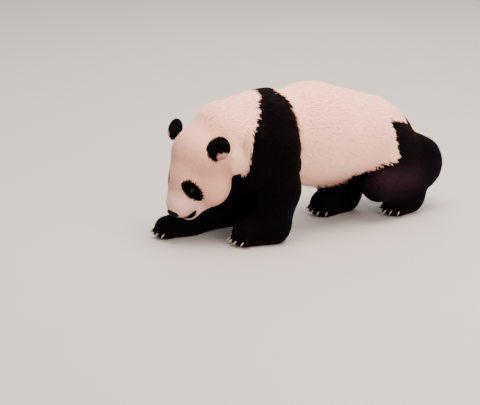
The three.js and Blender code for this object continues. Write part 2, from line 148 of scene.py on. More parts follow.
def floor_disc():
    """Rings of quads that get wider outwards, with a small hub in the middle."""
    radii = FLOOR_RADIUS * (np.arange(1, FLOOR_RINGS + 1) / FLOOR_RINGS) ** 2
    turn = 2 * math.pi * np.arange(FLOOR_SPOKES) / FLOOR_SPOKES
    x = (radii[:, None] * np.cos(turn)).ravel()
    y = (radii[:, None] * np.sin(turn)).ravel()
    ring, spoke = np.meshgrid(np.arange(FLOOR_RINGS - 1), np.arange(FLOOR_SPOKES), indexing="ij")
    after = (spoke + 1) % FLOOR_SPOKES
    inner = ring * FLOOR_SPOKES
    outer = inner + FLOOR_SPOKES
    quads = np.stack([inner + spoke, outer + spoke, outer + after, inner + after], -1)
    hub = np.arange(0, FLOOR_SPOKES, 2)
    fan = np.stack([np.zeros_like(hub), hub, (hub + 1) % FLOOR_SPOKES,
                    (hub + 2) % FLOOR_SPOKES], -1)[1:-1]
    faces = np.concatenate([quads.reshape(-1, 4), fan])
    return joined_mesh("museum_floor", np.stack([x, y, np.zeros_like(x)], 1), faces)


floor = floor_disc()
floor_paint, tree, shader = new_material("pale_floor_paint")
where = add_node(tree, "ShaderNodeTexCoord")
clouds = add_node(tree, "ShaderNodeTexNoise")
clouds.inputs["Scale"].default_value = FLOOR_CLOUDS
clouds.inputs["Detail"].default_value = 4.0
tree.links.new(where.outputs["Object"], clouds.inputs["Vector"])
paint = mixed(tree, clouds.outputs["Fac"], FLOOR_PALE, FLOOR_SHADE)
tree.links.new(paint, shader.inputs["Base Color"])
shader.inputs["Roughness"].default_value = 0.75
floor.data.materials.append(floor_paint)
floor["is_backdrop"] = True

# Each lamp's place and width in metres, its power in watts and its tint.
LAMPS = {
    "ceiling_light": ((0.3, 0.2, 3.2), 2.6, 290, (1.0, 0.75, 0.64)),
    "window_light": ((3.4, 0.2, 1.7), 2.0, 135, (1.0, 0.73, 0.62)),
    "far_light": ((-2.6, 2.0, 2.2), 2.0, 60, (1.0, 0.80, 0.76)),
}
LAMPS_FACE = Vector((0.0, 0.0, 0.2))  # the middle of the body, which every lamp faces
ROOM_TINT = (0.95, 0.80, 0.73, 1)
ROOM_STRENGTH = 1.6

for name, (place, width, power, tint) in LAMPS.items():
    lamp = bpy.data.lights.new(name, "AREA")
    lamp.shape = "DISK"
    lamp.size = width
    lamp.energy = power
    lamp.color = tint
    holder = bpy.data.objects.new(name, lamp)
    bpy.context.scene.collection.objects.link(holder)
    holder.location = place
    facing = Vector(place) - LAMPS_FACE
    holder.rotation_euler = facing.to_track_quat("Z", "Y").to_euler()

room = bpy.data.worlds.new("pale_room")
room.use_nodes = True
room_light = room.node_tree.nodes["Background"]
room_light.inputs["Color"].default_value = ROOM_TINT
room_light.inputs["Strength"].default_value = ROOM_STRENGTH
bpy.context.scene.world = room

# ======================================================================== carved body
# The form under the coat: trunk, neck, head and legs of a year-old giant panda cub,
# carved as swelling masses that run into each other, 3 to 15 mm under the coat's face.
# All sizes are millimetres, with +X the animal's left, +Y its rear and the floor at 0.

HEAD_MIDDLE = np.array([-15.5, -124.5, 292.0])     # between the ears
SIDES = {1: "left", -1: "right"}


def unit(v):
    v = np.asarray(v, float)
    return v / np.linalg.norm(v)


TO_NOSE = unit([-0.0364, -0.3491, -0.9366])
TO_LEFT = np.array([0.988, 0.1255, -0.085])
TO_LEFT = unit(TO_LEFT - TO_NOSE * (TO_LEFT @ TO_NOSE))
TO_BROW = np.cross(TO_NOSE, TO_LEFT)
HEAD_AXES = np.stack([TO_NOSE, TO_LEFT, TO_BROW])
BODY_AXES = np.eye(3)


def on_head(along, across, above):
    return HEAD_MIDDLE + along * TO_NOSE + across * TO_LEFT + above * TO_BROW


def head_place(p):
    """Places in the head's own directions: towards the nose, to the left, towards the brow."""
    return (p - HEAD_MIDDLE) @ HEAD_AXES.T


def ellipsoid(centre, radii, axes=BODY_AXES):
    """Distance to an ellipsoid, near enough for blending: negative inside."""
    centre = np.asarray(centre, float)
    radii = np.asarray(radii, float)

    def distance(p):
        q = (p - centre) @ axes.T / radii
        near = np.sqrt((q * q).sum(1))
        steep = np.sqrt(((q / radii) ** 2).sum(1))
        return near * (near - 1) / np.maximum(steep, 1e-9)
    return distance


def bar(start, end, start_radius, end_radius):
    """Distance to a round bar that tapers from one radius to the other."""
    start = np.asarray(start, float)
    run = np.asarray(end, float) - start

    def distance(p):
        offset = p - start
        t = np.clip(offset @ run / (run @ run), 0, 1)
        gap = offset - t[:, None] * run
        return np.sqrt((gap * gap).sum(1)) - (start_radius + (end_radius - start_radius) * t)
    return distance


def fuse(softness, values):
    """Any number of forms run together, as soft flesh over one frame."""
    least = np.minimum.reduce(values)
    total = sum(np.exp((least - value) / softness) for value in values)
    return least - softness * np.log(total)


def blend(a, b, width):
    """Two forms joined with a fillet of the given width."""
    h = np.maximum(width - np.abs(a - b), 0) / width
    return np.minimum(a, b) - h * h * width / 4


def carve(a, b, width):
    """What is left of a when b is taken away, with a rounded rim."""
    return -blend(-a, b, width)


def ramp(at, start, end):
    """0 up to the start, 1 past the end and a straight rise between them."""
    return np.clip((at - start) / (end - start), 0, 1)


# Each kind of coat: how deep it is, how long and wide its tufts are, and how far apart.
# It gets its full depth only above the soles, and is thinnest under them.
SOLE_COAT = (0, 26)
THINNEST_COAT = 0.08
COATS = {
    "trunk": dict(depth=15.0, length=34.0, width=3.8, apart=3.15),
    "neck": dict(depth=13.0, length=28.0, width=3.5, apart=3.0),
    "skull": dict(depth=8.0, length=16.0, width=2.8, apart=2.5),
    "cheek": dict(depth=9.0, length=18.0, width=2.8, apart=2.5),
    "brow": dict(depth=5.5, length=11.0, width=2.3, apart=2.15),
    "muzzle": dict(depth=3.0, length=6.5, width=1.8, apart=1.8),
    "upper_leg": dict(depth=11.0, length=24.0, width=3.8, apart=3.25),
    "lower_leg": dict(depth=8.0, length=18.0, width=3.3, apart=2.9),
    "paw": dict(depth=4.5, length=10.0, width=2.5, apart=2.4),
    "ear": dict(depth=4.5, length=10.0, width=2.3, apart=2.1),
    "tail": dict(depth=10.0, length=26.0, width=3.6, apart=3.1),
}

# The lie of the coat: back along the trunk and down the flanks, up from nose to crown,
# out over the cheeks, down the legs and forward over the toes.
BACKWARD = (0, 1, -0.16)
DOWN = (0, 0.3, -1)
DOWN_THE_SHOULDER = (0, 0.45, -0.9)
DOWN_THE_THIGH = (0, 0.55, -0.8)
STRAIGHT_DOWN = (0, 0.1, -1)
UP_THE_FACE = -TO_NOSE
PAW_DROOP = (0, 0, 0.25)

SOFTNESS = {"trunk": 16, "neck": 14, "head": 9, "leg": 12}
WIDTHS = {"neck": 40, "head": 26, "joint": 30, "skin": 4, "tail": 14, "ear": 8, "toe": 3}

# Each paw's heel, the ball behind its toes, and the radius at the one and the other.
PAWS = {
    "foreleg_left": ((102, 50, 40), (88, -26, 33), 47, 41),
    "foreleg_right": ((-86, -104, 35), (-94, -174, 28), 35, 35),
    "hindleg_left": ((70, 560, 40), (76, 508, 31), 43, 39),
    "hindleg_right": ((-46, 412, 38), (-36, 328, 32), 44, 43),
}


def paw(leg):
    """The mass of a paw, its hair lying forward over the toes and a little down."""
    heel, ball, heel_radius, ball_radius = PAWS[leg]
    ahead = unit(np.subtract(ball, heel))
    return ("paw", bar(heel, ball, heel_radius, ball_radius), ahead - PAW_DROOP)


def cheeks(along, across, above, radii, lie_up, lie_out, lie_down):
    """A mass on each side of the face, its hair lying up, outward and down."""
    return [("cheek", ellipsoid(on_head(along, side * across, above), radii, HEAD_AXES),
             UP_THE_FACE * lie_up + TO_LEFT * side * lie_out - TO_BROW * lie_down)
            for side in SIDES]


# The masses of each group, as rows of (kind of coat, shape, lie of the hair).
MASSES = {
    "trunk": [
        ("trunk", ellipsoid((0, 98, 298), (108, 112, 116)), BACKWARD),
        ("trunk", ellipsoid((0, 112, 232), (102, 118, 102)), (0, 0.5, -0.8)),
        ("trunk", ellipsoid((0, 245, 265), (140, 150, 149)), BACKWARD),
        ("trunk", ellipsoid((0, 345, 246), (142, 145, 134)), BACKWARD),
        ("trunk", ellipsoid((0, 452, 230), (126, 112, 118)), BACKWARD),
        ("trunk", ellipsoid((0, 518, 190), (106, 84, 106)), (0, 1, -0.5)),
        ("trunk", ellipsoid((0, 592, 158), (64, 76, 78)), (0, 0.5, -1)),
        ("trunk", ellipsoid((-12, 62, 158), (66, 58, 74)), DOWN),
    ],
    "neck": [
        ("neck", ellipsoid((-4, 24, 296), (100, 92, 104)), (0, 0.8, -0.45)),
        ("neck", ellipsoid((-12, -48, 304), (92, 72, 84)), (0, 0.9, -0.35)),
        ("neck", bar((-56, -32, 242), (58, -40, 242), 44, 44), (0, 0.7, -0.7)),
    ],
    "head": [
        ("skull", ellipsoid(on_head(36, 0, -46), (88, 101, 84), HEAD_AXES), UP_THE_FACE),
        *cheeks(106, 58, -65, (58, 46, 52), 0.55, 0.5, 0.75),
        *cheeks(146, 32, -60, (38, 31, 33), 0.8, 0.3, 0.5),
        ("brow", ellipsoid(on_head(104, 0, -18), (64, 62, 50), HEAD_AXES), UP_THE_FACE),
        ("brow", ellipsoid(on_head(148, 0, -22), (44, 42, 37), HEAD_AXES), UP_THE_FACE),
        ("muzzle", ellipsoid(on_head(180, 0, -17), (41, 42, 32), HEAD_AXES), UP_THE_FACE),
        ("muzzle", ellipsoid(on_head(178, 0, -58), (45, 39, 29), HEAD_AXES),
         UP_THE_FACE - TO_BROW * 0.3),
    ],
    "tail": [
        ("tail", bar((0, 604, 214), (0, 664, 168), 26, 20), (0, 0.75, -0.6)),
    ],
    "foreleg_left": [
        ("trunk", ellipsoid((72, 78, 300), (56, 66, 92)), DOWN_THE_SHOULDER),
        ("upper_leg", bar((82, 10, 285), (92, 10, 205), 52, 48), DOWN),
        ("upper_leg", bar((94, 74, 270), (110, 72, 150), 62, 54), DOWN),
        ("lower_leg", bar((110, 74, 150), (104, 54, 60), 53, 50), STRAIGHT_DOWN),
        paw("foreleg_left"),
    ],
    "foreleg_right": [
        ("trunk", ellipsoid((-72, 70, 300), (56, 66, 92)), DOWN_THE_SHOULDER),
        ("upper_leg", bar((-82, 10, 285), (-92, 6, 205), 52, 48), DOWN),
        ("upper_leg", bar((-92, 54, 260), (-72, 58, 92), 60, 54), STRAIGHT_DOWN),
        ("lower_leg", bar((-66, 56, 57), (-84, -104, 38), 52, 36), (0.1, -1, -0.35)),
        paw("foreleg_right"),
    ],
    "hindleg_left": [
        ("upper_leg", ellipsoid((68, 494, 165), (60, 100, 80)), DOWN_THE_THIGH),
        ("upper_leg", ellipsoid((54, 604, 138), (66, 79, 85)), DOWN),
        ("lower_leg", bar((94, 425, 106), (76, 556, 76), 51, 47), DOWN_THE_THIGH),
        paw("hindleg_left"),
    ],
    "hindleg_right": [
        ("upper_leg", ellipsoid((-68, 466, 165), (60, 100, 80)), DOWN_THE_THIGH),
        ("upper_leg", ellipsoid((-54, 600, 138), (64, 76, 81)), DOWN),
        ("lower_leg", bar((-78, 356, 112), (-54, 436, 76), 50, 46), DOWN_THE_THIGH),
        paw("hindleg_right"),
    ],
}
OWNER_SOFTNESS = 9.0                  # how far round a mass its kind of coat spreads

# Where the legs join the trunk, and how far from there the fillet has narrowed to a crease.
JOINTS = {
    "foreleg_left": (90, 75, 300),
    "foreleg_right": (-90, 75, 290),
    "hindleg_left": (70, 520, 190),
    "hindleg_right": (-70, 500, 190),
}
JOINT_REACH = 130

# Ears: thick round leaves that face forward and a little outward, hollow in front.
EAR_SPREAD = 99
EAR_PLACE = (-4, EAR_SPREAD, -6)
EAR_TURN = 0.22
EAR_RADII = (33, 34, 15)
EAR_HOLLOW = (24, 25, 15)
EAR_HOLLOW_AHEAD = 25
EAR_RIM = 6


def ear(side):
    """The form of an ear, standing out at the corner of the crown."""
    along, across, above = EAR_PLACE
    centre = on_head(along, across * side, above)
    facing = unit(TO_BROW + EAR_TURN * side * TO_LEFT)
    sideways = unit(TO_LEFT - facing * (TO_LEFT @ facing))
    axes = np.stack([np.cross(sideways, facing), sideways, facing])
    leaf = ellipsoid(centre, EAR_RADII, axes)
    hollow = ellipsoid(centre + EAR_HOLLOW_AHEAD * facing, EAR_HOLLOW, axes)
    return lambda p: carve(leaf(p), hollow(p), EAR_RIM)


EARS = {side: ear(side) for side in SIDES}


def ear_distance(p):
    return np.minimum(EARS[1](p), EARS[-1](p))


# Toes: five round the front of each paw, the middle one farthest forward.
TOE_RADII = (19, 11, 14)
TOE_HEIGHT = 17.0
TOE_TURN = 0.2                        # from one toe to the next, in radians
TOE_SPACING = 0.4                     # this and the next two are shares of the paw's radius
TOE_LEAD = 0.62                       # of the middle toe before the ball
TOE_FALL = 0.1                        # of the others behind it
TOE_COAT = 2.5
TOES_TOP = 55                         # no toe reaches above this


def toe_places(leg):
    """The middle of each toe of a paw, with the ways that it faces and runs across."""
    heel, ball, _, radius = PAWS[leg]
    ahead = unit((ball[0] - heel[0], ball[1] - heel[1], 0))
    across = np.array([-ahead[1], ahead[0], 0])
    places = []
    for n in (-2, -1, 0, 1, 2):
        turn = TOE_TURN * n
        facing = ahead * math.cos(turn) + across * math.sin(turn)
        place = np.array([ball[0], ball[1], TOE_HEIGHT]) + across * n * radius * TOE_SPACING
        place = place + ahead * radius * (TOE_LEAD - TOE_FALL * n * n)
        places.append((place, facing, np.array([-facing[1], facing[0], 0])))
    return places


TOES = {leg: toe_places(leg) for leg in PAWS}

# Eyes sit in sockets under the brow, behind lids that meet at both corners. The bowl and
# the slit between the lids are measured from the middle of the eyeball.
EYE_PLACE = (131, 47, 1)
EYE_TURN = 0.75
EYE_RADIUS = 9.0
EYE_DEPTH = 5.0
EYE_SLANT = math.radians(34)
EYE_BOWL = ellipsoid((0, 0, EYE_RADIUS + 3), (15, 12, 7))
EYE_BOWL_RIM = 5
EYE_SLIT = ellipsoid((0, 0, EYE_RADIUS + 1), (8.2, 4.6, 9))
LID_THICKNESS = 2.2
LID_EDGE = 1.2
LID_FILLET = 3

# The nose pad is let into the tip of the muzzle. From under it the mouth line runs back
# to its corner below the cheek. Both are in the head's own directions.
NOSE_PLACE = (212, 0, -6)
NOSE_PAD = ellipsoid(NOSE_PLACE, (9, 21, 13))
MOUTH = [(222, 0, -38), (218, 16, -44), (210, 28, -48), (200, 37, -48), (190, 44, -47)]
MOUTH_BARS = [bar(start, end, 0, 0) for start, end in zip(MOUTH[:-1], MOUTH[1:])]
MOUTH_RADIUS = 1.2
MOUTH_RIM = 2.5
FACE_LOW = (90, -90, -110)            # the face is inside this box
FACE_HIGH = (260, 90, math.inf)


def mirrored(q):
    """Places of the head with those on its right brought over to its left."""
    return np.stack([q[:, 0], np.abs(q[:, 1]), q[:, 2]], 1)


def mouth_distance(q):
    q = mirrored(q)
    return np.minimum.reduce([line(q) for line in MOUTH_BARS])


def mass_values(p):
    """Distances to all the masses, by group."""
    return {group: [shape(p) for _, shape, _ in rows] for group, rows in MASSES.items()}


def coat_surface(p, values):
    """The outer form of the coat without ears, toes and face: negative inside."""
    whole = blend(fuse(SOFTNESS["trunk"], values["trunk"]),
                  fuse(SOFTNESS["neck"], values["neck"]), WIDTHS["neck"])
    whole = blend(whole, fuse(SOFTNESS["head"], values["head"]), WIDTHS["head"])
    for leg, joint in JOINTS.items():
        reach = np.linalg.norm(p - np.array(joint, float), axis=1) / JOINT_REACH
        width = WIDTHS["skin"] + WIDTHS["joint"] * np.exp(-reach * reach)
        whole = blend(whole, fuse(SOFTNESS["leg"], values[leg]), width)
    return blend(whole, values["tail"][0], WIDTHS["tail"])


def nearness(values, ears):
    """How much each mass owns a place: rows of (kind, lie, weight), the weights adding to 1."""
    rows = [(kind, lie, value) for group, masses in MASSES.items()
            for (kind, _, lie), value in zip(masses, values[group])]
    rows.append(("ear", None, ears))
    least = np.minimum.reduce([value for _, _, value in rows])
    weights = [np.exp((least - value) / OWNER_SOFTNESS) for _, _, value in rows]
    total = sum(weights)
    return [(kind, lie, weight / total) for (kind, lie, _), weight in zip(rows, weights)]


def owners_of(p):
    """The masses that own each place of the skin or the coat."""
    return nearness(mass_values(p), ear_distance(p))


def coat_measure(owners, measure):
    """A measure of the coat, such as its length, at each place."""
    return sum(COATS[kind][measure] * weight for kind, _, weight in owners)


def coat_depth(owners, p):
    return coat_measure(owners, "depth") * np.maximum(ramp(p[:, 2], *SOLE_COAT), THINNEST_COAT)


def with_toes(p, whole):
    """Adds the toes of all four paws."""
    for leg in TOES.values():
        for place, facing, across in leg:
            toe = ellipsoid(place, TOE_RADII, np.stack([facing, across, (0, 0, 1)]))
            whole = blend(whole, toe(p) + TOE_COAT, WIDTHS["toe"])
    return whole


SOCKETS = {}                          # middle and axes of each eyeball, settled below


def with_face(p, q, whole):
    """Adds sockets and lids round the eyes, and the mouth line."""
    for side, (centre, axes) in SOCKETS.items():
        r = (p - centre) @ axes.T
        along = r[:, 0] * math.cos(EYE_SLANT) + side * r[:, 1] * math.sin(EYE_SLANT)
        up = -r[:, 0] * math.sin(EYE_SLANT) + side * r[:, 1] * math.cos(EYE_SLANT)
        slanted = np.stack([along, up, r[:, 2]], 1)
        whole = carve(whole, EYE_BOWL(slanted), EYE_BOWL_RIM)
        lids = np.linalg.norm(r, axis=1) - EYE_RADIUS - LID_THICKNESS
        whole = blend(whole, carve(lids, EYE_SLIT(slanted), LID_EDGE), LID_FILLET)
    return carve(whole, mouth_distance(q) - MOUTH_RADIUS, MOUTH_RIM)


def carved_body(p):
    """The carved form under the coat: negative inside."""
    values = mass_values(p)
    ears = ear_distance(p)
    whole = coat_surface(p, values) + coat_depth(nearness(values, ears), p)
    whole = blend(whole, ears + COATS["ear"]["depth"], WIDTHS["ear"])
    low = p[:, 2] < TOES_TOP
    if low.any():
        whole[low] = with_toes(p[low], whole[low])
    q = head_place(p)
    face = ((q > FACE_LOW) & (q < FACE_HIGH)).all(1)
    if face.any():
        whole[face] = with_face(p[face], q[face], whole[face])
    return np.maximum(whole, -p[:, 2])


# ------------------------------------------------------------------------ net of a form
# A form becomes a mesh by way of a grid. Each cell that its surface passes through gets
# one point, and each step of a grid line through the surface gets a quad round it.

AT_ONCE = 60000                       # how many places are worked out at a time
SLOPE_STEP = 0.4
COARSE_STEP = 4                       # one grid line in so many is tried first
NEAR_SURFACE = 1.9                    # in cells of the coarse grid
CELL_CORNERS = [(a, b, c) for c in (0, 1) for b in (0, 1) for a in (0, 1)]
CELL_EDGES = [(u, u | bit) for u in range(8) for bit in (1, 2, 4) if not u & bit]


def slope(form, p):
    """Value, unit outward direction and steepness of a form at each place."""
    value = form(p)
    grade = np.stack([form(p + SLOPE_STEP * axis) - value for axis in BODY_AXES], 1) / SLOPE_STEP
    steep = np.linalg.norm(grade, axis=1)
    return value, grade / np.maximum(steep, 1e-6)[:, None], steep


def in_turns(form, p):
    """What a form gives for each place, worked out batch by batch to spare memory."""
    return np.concatenate([form(p[i:i + AT_ONCE]) for i in range(0, len(p), AT_ONCE)])


def settle(form, p, most, rounds):
    """Moves places on to the surface of a form, by at most a given step."""
    def moved(part):
        value, outward, steep = slope(form, part)
        step = np.clip(value / np.maximum(steep, 0.3), -most, most)
        return part - outward * step[:, None]

    for _ in range(rounds):
        p = in_turns(moved, p)
    return p


def relax(points, quads):
    """Moves each point halfway to the middle of its neighbours along the net."""
    ends = np.concatenate([quads[:, [0, 1]], quads[:, [1, 2]], quads[:, [2, 3]], quads[:, [3, 0]]])
    both = np.concatenate([ends, ends[:, ::-1]])
    degree = np.bincount(both[:, 0], minlength=len(points)).astype(float)
    middle = np.stack([np.bincount(both[:, 0], points[both[:, 1], a], len(points))
                       for a in range(3)], 1) / np.maximum(degree, 1)[:, None]
    return points + 0.5 * (middle - points)


def grid_values(form, xs, ys, zs, widest):
    """The form's value wherever grid lines cross, exact only near its surface."""
    coarse = np.meshgrid(xs[::COARSE_STEP], ys[::COARSE_STEP], zs[::COARSE_STEP], indexing="ij")
    coarse = np.stack(coarse, -1)
    value = in_turns(form, coarse.reshape(-1, 3)).reshape(coarse.shape[:3])
    near = np.abs(value) < widest * COARSE_STEP * NEAR_SURFACE
    for axis in range(3):
        value = np.repeat(value, COARSE_STEP, axis)
        near = np.repeat(near, COARSE_STEP, axis)
    value = value[:len(xs), :len(ys), :len(zs)].copy()
    i, j, k = np.nonzero(near[:len(xs), :len(ys), :len(zs)])
    value[i, j, k] = in_turns(form, np.stack([xs[i], ys[j], zs[k]], 1))
    value[value == 0] = 1e-6          # so that the surface passes beside every crossing
    return value


def cell_points(value, xs, ys, zs):
    """A point in each cell that the surface passes through, and the numbers of the points."""
    inside = value < 0
    wide, deep, high = (len(xs) - 1, len(ys) - 1, len(zs) - 1)
    count = sum(inside[a:wide + a, b:deep + b, c:high + c].astype(np.int8)
                for a, b, c in CELL_CORNERS)
    i, j, k = np.nonzero((count > 0) & (count < 8))
    at_corners = np.stack([value[i + a, j + b, k + c] for a, b, c in CELL_CORNERS], 1)
    total = np.zeros((len(i), 3))
    cuts = np.zeros(len(i))
    for u, w in CELL_EDGES:
        a, b = at_corners[:, u], at_corners[:, w]
        cut = (a < 0) != (b < 0)
        t = np.where(cut, a / np.where(cut, a - b, 1), 0)
        start, end = np.array(CELL_CORNERS[u]), np.array(CELL_CORNERS[w])
        total += np.where(cut[:, None], start + t[:, None] * (end - start), 0)
        cuts += cut
    first = np.stack([xs[i], ys[j], zs[k]], 1)
    last = np.stack([xs[i + 1], ys[j + 1], zs[k + 1]], 1)
    number = np.full((wide, deep, high), -1, np.int32)
    number[i, j, k] = np.arange(len(i))
    return first + total / cuts[:, None] * (last - first), number


def crossing_quads(inside, number):
    """A quad round each step of a grid line through the surface, facing outwards."""
    shape = inside.shape
    quads = []
    for axis in range(3):
        before = np.delete(inside, -1, axis)
        after = np.delete(inside, 0, axis)
        at = np.stack(np.nonzero(before != after), 1)
        u, v = (axis + 1) % 3, (axis + 2) % 3
        at = at[(at[:, u] > 0) & (at[:, v] > 0)]
        at = at[(at[:, u] < shape[u] - 1) & (at[:, v] < shape[v] - 1)]
        ring = []
        for du, dv in ((1, 1), (0, 1), (0, 0), (1, 0)):
            cell = at.copy()
            cell[:, u] -= du
            cell[:, v] -= dv
            ring.append(number[tuple(cell.T)])
        quad = np.stack(ring, 1)
        opens_out = before[tuple(at.T)]
        quads.append(np.where(opens_out[:, None], quad, quad[:, ::-1]))
    quads = np.concatenate(quads)
    return quads[(quads >= 0).all(1)]


def net_of(form, xs, ys, zs):
    """A closed net of quads on the surface of a form, over grid lines of any spacing."""
    widest = max(np.diff(lines).max() for lines in (xs, ys, zs))
    value = grid_values(form, xs, ys, zs, widest)
    points, number = cell_points(value, xs, ys, zs)
    quads = crossing_quads(value < 0, number)
    return settle(form, relax(points, quads), most=widest / 2, rounds=2), quads


# The frame's origin is below the middle of the solids, so places are carried over from
# the nose pad, whose middle is known in both.
MILLIMETRE = 0.001
TO_FRAME = np.array(pad_middle) - on_head(*NOSE_PLACE) * MILLIMETRE
TO_FRAME[2] = 0.0


def in_frame(p):
    return p * MILLIMETRE + TO_FRAME


def eye_socket(side):
    """Where an eyeball goes: under the coat's surface, looking up the face and outward."""
    along, across, above = EYE_PLACE
    rim = settle(lambda p: coat_surface(p, mass_values(p)),
                 on_head(along, across * side, above)[None], most=40, rounds=3)
    outward = unit(TO_BROW + EYE_TURN * side * TO_LEFT)
    sideways = unit(TO_LEFT - outward * (TO_LEFT @ outward))
    axes = np.stack([np.cross(sideways, outward), sideways, outward])
    return rim[0] - (EYE_DEPTH + EYE_RADIUS) * outward, axes


SOCKETS.update({side: eye_socket(side) for side in SIDES})

# ======================================================================== markings
# Black ears, eye patches, shoulder band, forelegs and hindquarters on a cream coat.
# The colour belongs to each tuft from its root, so the edges between them are ragged.

# Where the shoulder band starts and ends, as (height, distance back) from the legs up.
BAND_FRONT = [(190, -34), (250, -30), (297, -27), (322, -15), (345, 9), (377, 30), (405, 56),
              (414, 68)]
BAND_BACK = [(190, 150), (292, 134), (346, 134), (375, 132), (396, 124), (412, 112)]
THROAT_REACH = 80                     # half width of the throat, where white runs further back
THROAT_LEAD = 0.5                     # how much further, for each millimetre inwards
THROAT_TOP = (300, 240)               # heights between which that begins
THROAT_FOOT = (180, 220)              # and ends
LEG_TOP = 200.0                       # top of the black on the forelegs, before the band
LEG_LEAD = 6                          # how much nearer than the trunk a black foreleg is
RUMP_EDGE = [(160, 482), (187, 478), (211, 470), (231, 465), (271, 458), (296, 451)]
RUMP_TOP = (298.0, 460.0, 0.3)        # height at a distance back, and how fast it falls
RUMP_STRIPE = [(528, 98), (540, 62), (560, 32)]      # half width of the white to the tail
STRIPE_LEAST = 34.0                   # its least, behind and above the next two
STRIPE_START = 500
STRIPE_FOOT = 190
STIFLE_HEIGHT = 174.0                 # top of the black on the hind legs
STIFLE_MIDDLE = 430                   # from here it rises backwards and falls forwards
STIFLE_REACH = 60
STIFLE_RISE = 0.2
STIFLE_DIP = 0.4
STIFLE_LAG = 55                       # how far the black runs on past the leg's own mass
TAIL_WHITE = 5                        # how far round the tail the white spreads
FACE_EDGES = (8, 1)                   # how far the face runs on to the trunk and the forelegs
RAGGEDNESS = ((2.2, 11), (3.0, 42))   # how far the edges wander, each over its own length
MARK_CORNER = 20.0                    # how softly the corners of the markings are rounded
EDGE_WIDTHS = {"body": 5.0, "stifle": 22.0, "face": 1.6, "ear": 3.4}     # of mixed tufts

# An eye patch: its middle along and across the head, half its length and width, its slant.
EYE_PATCH = (131.0, 51.0, 25.6, 20.0, math.radians(38))
PATCH_SQUARENESS = 2.8
PATCH_WANDER = (0.3, 9)
PATCH_FOOT = -70
NO_BLACK = -20
LIP_WIDTHS = ((190, 198, 212, 219), (6.0, 10.5, 9.0, 3.4))    # of dark hair beside the mouth

# An ear's black begins a little way out from it. Cream wisps grow up in front of its foot,
# as far as two lines through one place that lean along and across the head.
EAR_BLACK = 8.5
EAR_REACH = 7.5
WISP_PLACE = (12, EAR_SPREAD + 8)
WISP_LINES = ((0.91, 0.41), (0.2, 0.98))
WISP_BACK = -12
WISP_WANDER = (0.8, 8)

wave_draw = np.random.default_rng(7)
WAVES = wave_draw.normal(size=(9, 3))
WAVES /= np.linalg.norm(WAVES, axis=1)[:, None]
WAVE_STARTS = wave_draw.uniform(0, 2 * math.pi, 9)
WAVE_SIZES = wave_draw.uniform(0.7, 1.5, 9)


def wander(p, size):
    """A smooth uneven number round 0, about 1 at most, that changes over the given size."""
    phase = (p @ WAVES.T) * (2 * math.pi / size) * WAVE_SIZES + WAVE_STARTS
    return np.sin(phase).sum(1) / (len(WAVES) / 2)


def by_table(line, at):
    places, numbers = zip(*line)
    return np.interp(at, places, numbers)


def inside_patch(q, middle_along, middle_across, half_long, half_wide, slant):
    """How far inside an eye patch a place on the face is, in millimetres."""
    along = q[:, 0] - middle_along
    across = np.abs(q[:, 1]) - middle_across
    u = along * math.cos(slant) + across * math.sin(slant)
    v = -along * math.sin(slant) + across * math.cos(slant)
    power = PATCH_SQUARENESS
    outward = (np.abs(u / half_long) ** power + np.abs(v / half_wide) ** power) ** (1 / power)
    return half_wide * (1 - outward)


def shoulder_black(p, trunk, fore):
    """How far inside the shoulder band or the black of a foreleg each place is."""
    x, y, z = p.T
    throat = THROAT_LEAD * np.clip(THROAT_REACH - np.abs(x), 0, THROAT_REACH)
    throat = throat * ramp(z, *THROAT_TOP) * ramp(z, *THROAT_FOOT)
    band = np.minimum(y - by_table(BAND_FRONT, z) - throat, by_table(BAND_BACK, z) - y)
    return np.maximum(band, np.minimum(trunk - fore - LEG_LEAD, LEG_TOP - z))


def rump_and_stifle(p, trunk, hind):
    """How far behind the edge over the rump, and below that of the thigh, each place is."""
    x, y, z = p.T
    top, start, fall = RUMP_TOP
    rump = blend(y - by_table(RUMP_EDGE, z), top - fall * (y - start) - z, MARK_CORNER)
    stripe = y > RUMP_STRIPE[0][0]
    rump = np.where(stripe, np.maximum(rump, np.abs(x) - by_table(RUMP_STRIPE, y)), rump)
    above_tail = (y > STRIPE_START) & (z > STRIPE_FOOT)
    rump = np.where(above_tail, np.minimum(rump, np.abs(x) - STRIPE_LEAST), rump)
    rise = STIFLE_RISE * np.clip(y - STIFLE_MIDDLE, 0, STIFLE_REACH)
    dip = STIFLE_DIP * np.clip(STIFLE_MIDDLE - y, 0, STIFLE_REACH)
    return rump, np.minimum(STIFLE_HEIGHT + rise - dip - z, trunk + STIFLE_LAG - hind)


def face_black(p, q):
    """How far inside the eye patches, the rim of the nose or the lips each place is."""
    size, length = PATCH_WANDER
    patch = inside_patch(q, *EYE_PATCH) + size * wander(p, length)
    patch = np.where(q[:, 2] > PATCH_FOOT, patch, NO_BLACK)
    lips = np.interp(q[:, 0], *LIP_WIDTHS) - mouth_distance(q)
    return np.maximum.reduce([patch, -NOSE_PAD(q), lips])


def lobe_black(p, q, ears):
    """How far inside an ear's black each place is, with cream wisps in front of its foot."""
    along = q[:, 0] - WISP_PLACE[0]
    across = np.abs(q[:, 1]) - WISP_PLACE[1]
    wisp = np.minimum.reduce([a * along + b * across for a, b in WISP_LINES])
    wisp = np.minimum(wisp, q[:, 2] - WISP_BACK)            # not on the back of the ear
    size, length = WISP_WANDER
    return np.minimum(EAR_BLACK - ears, -wisp + size * wander(p, length))


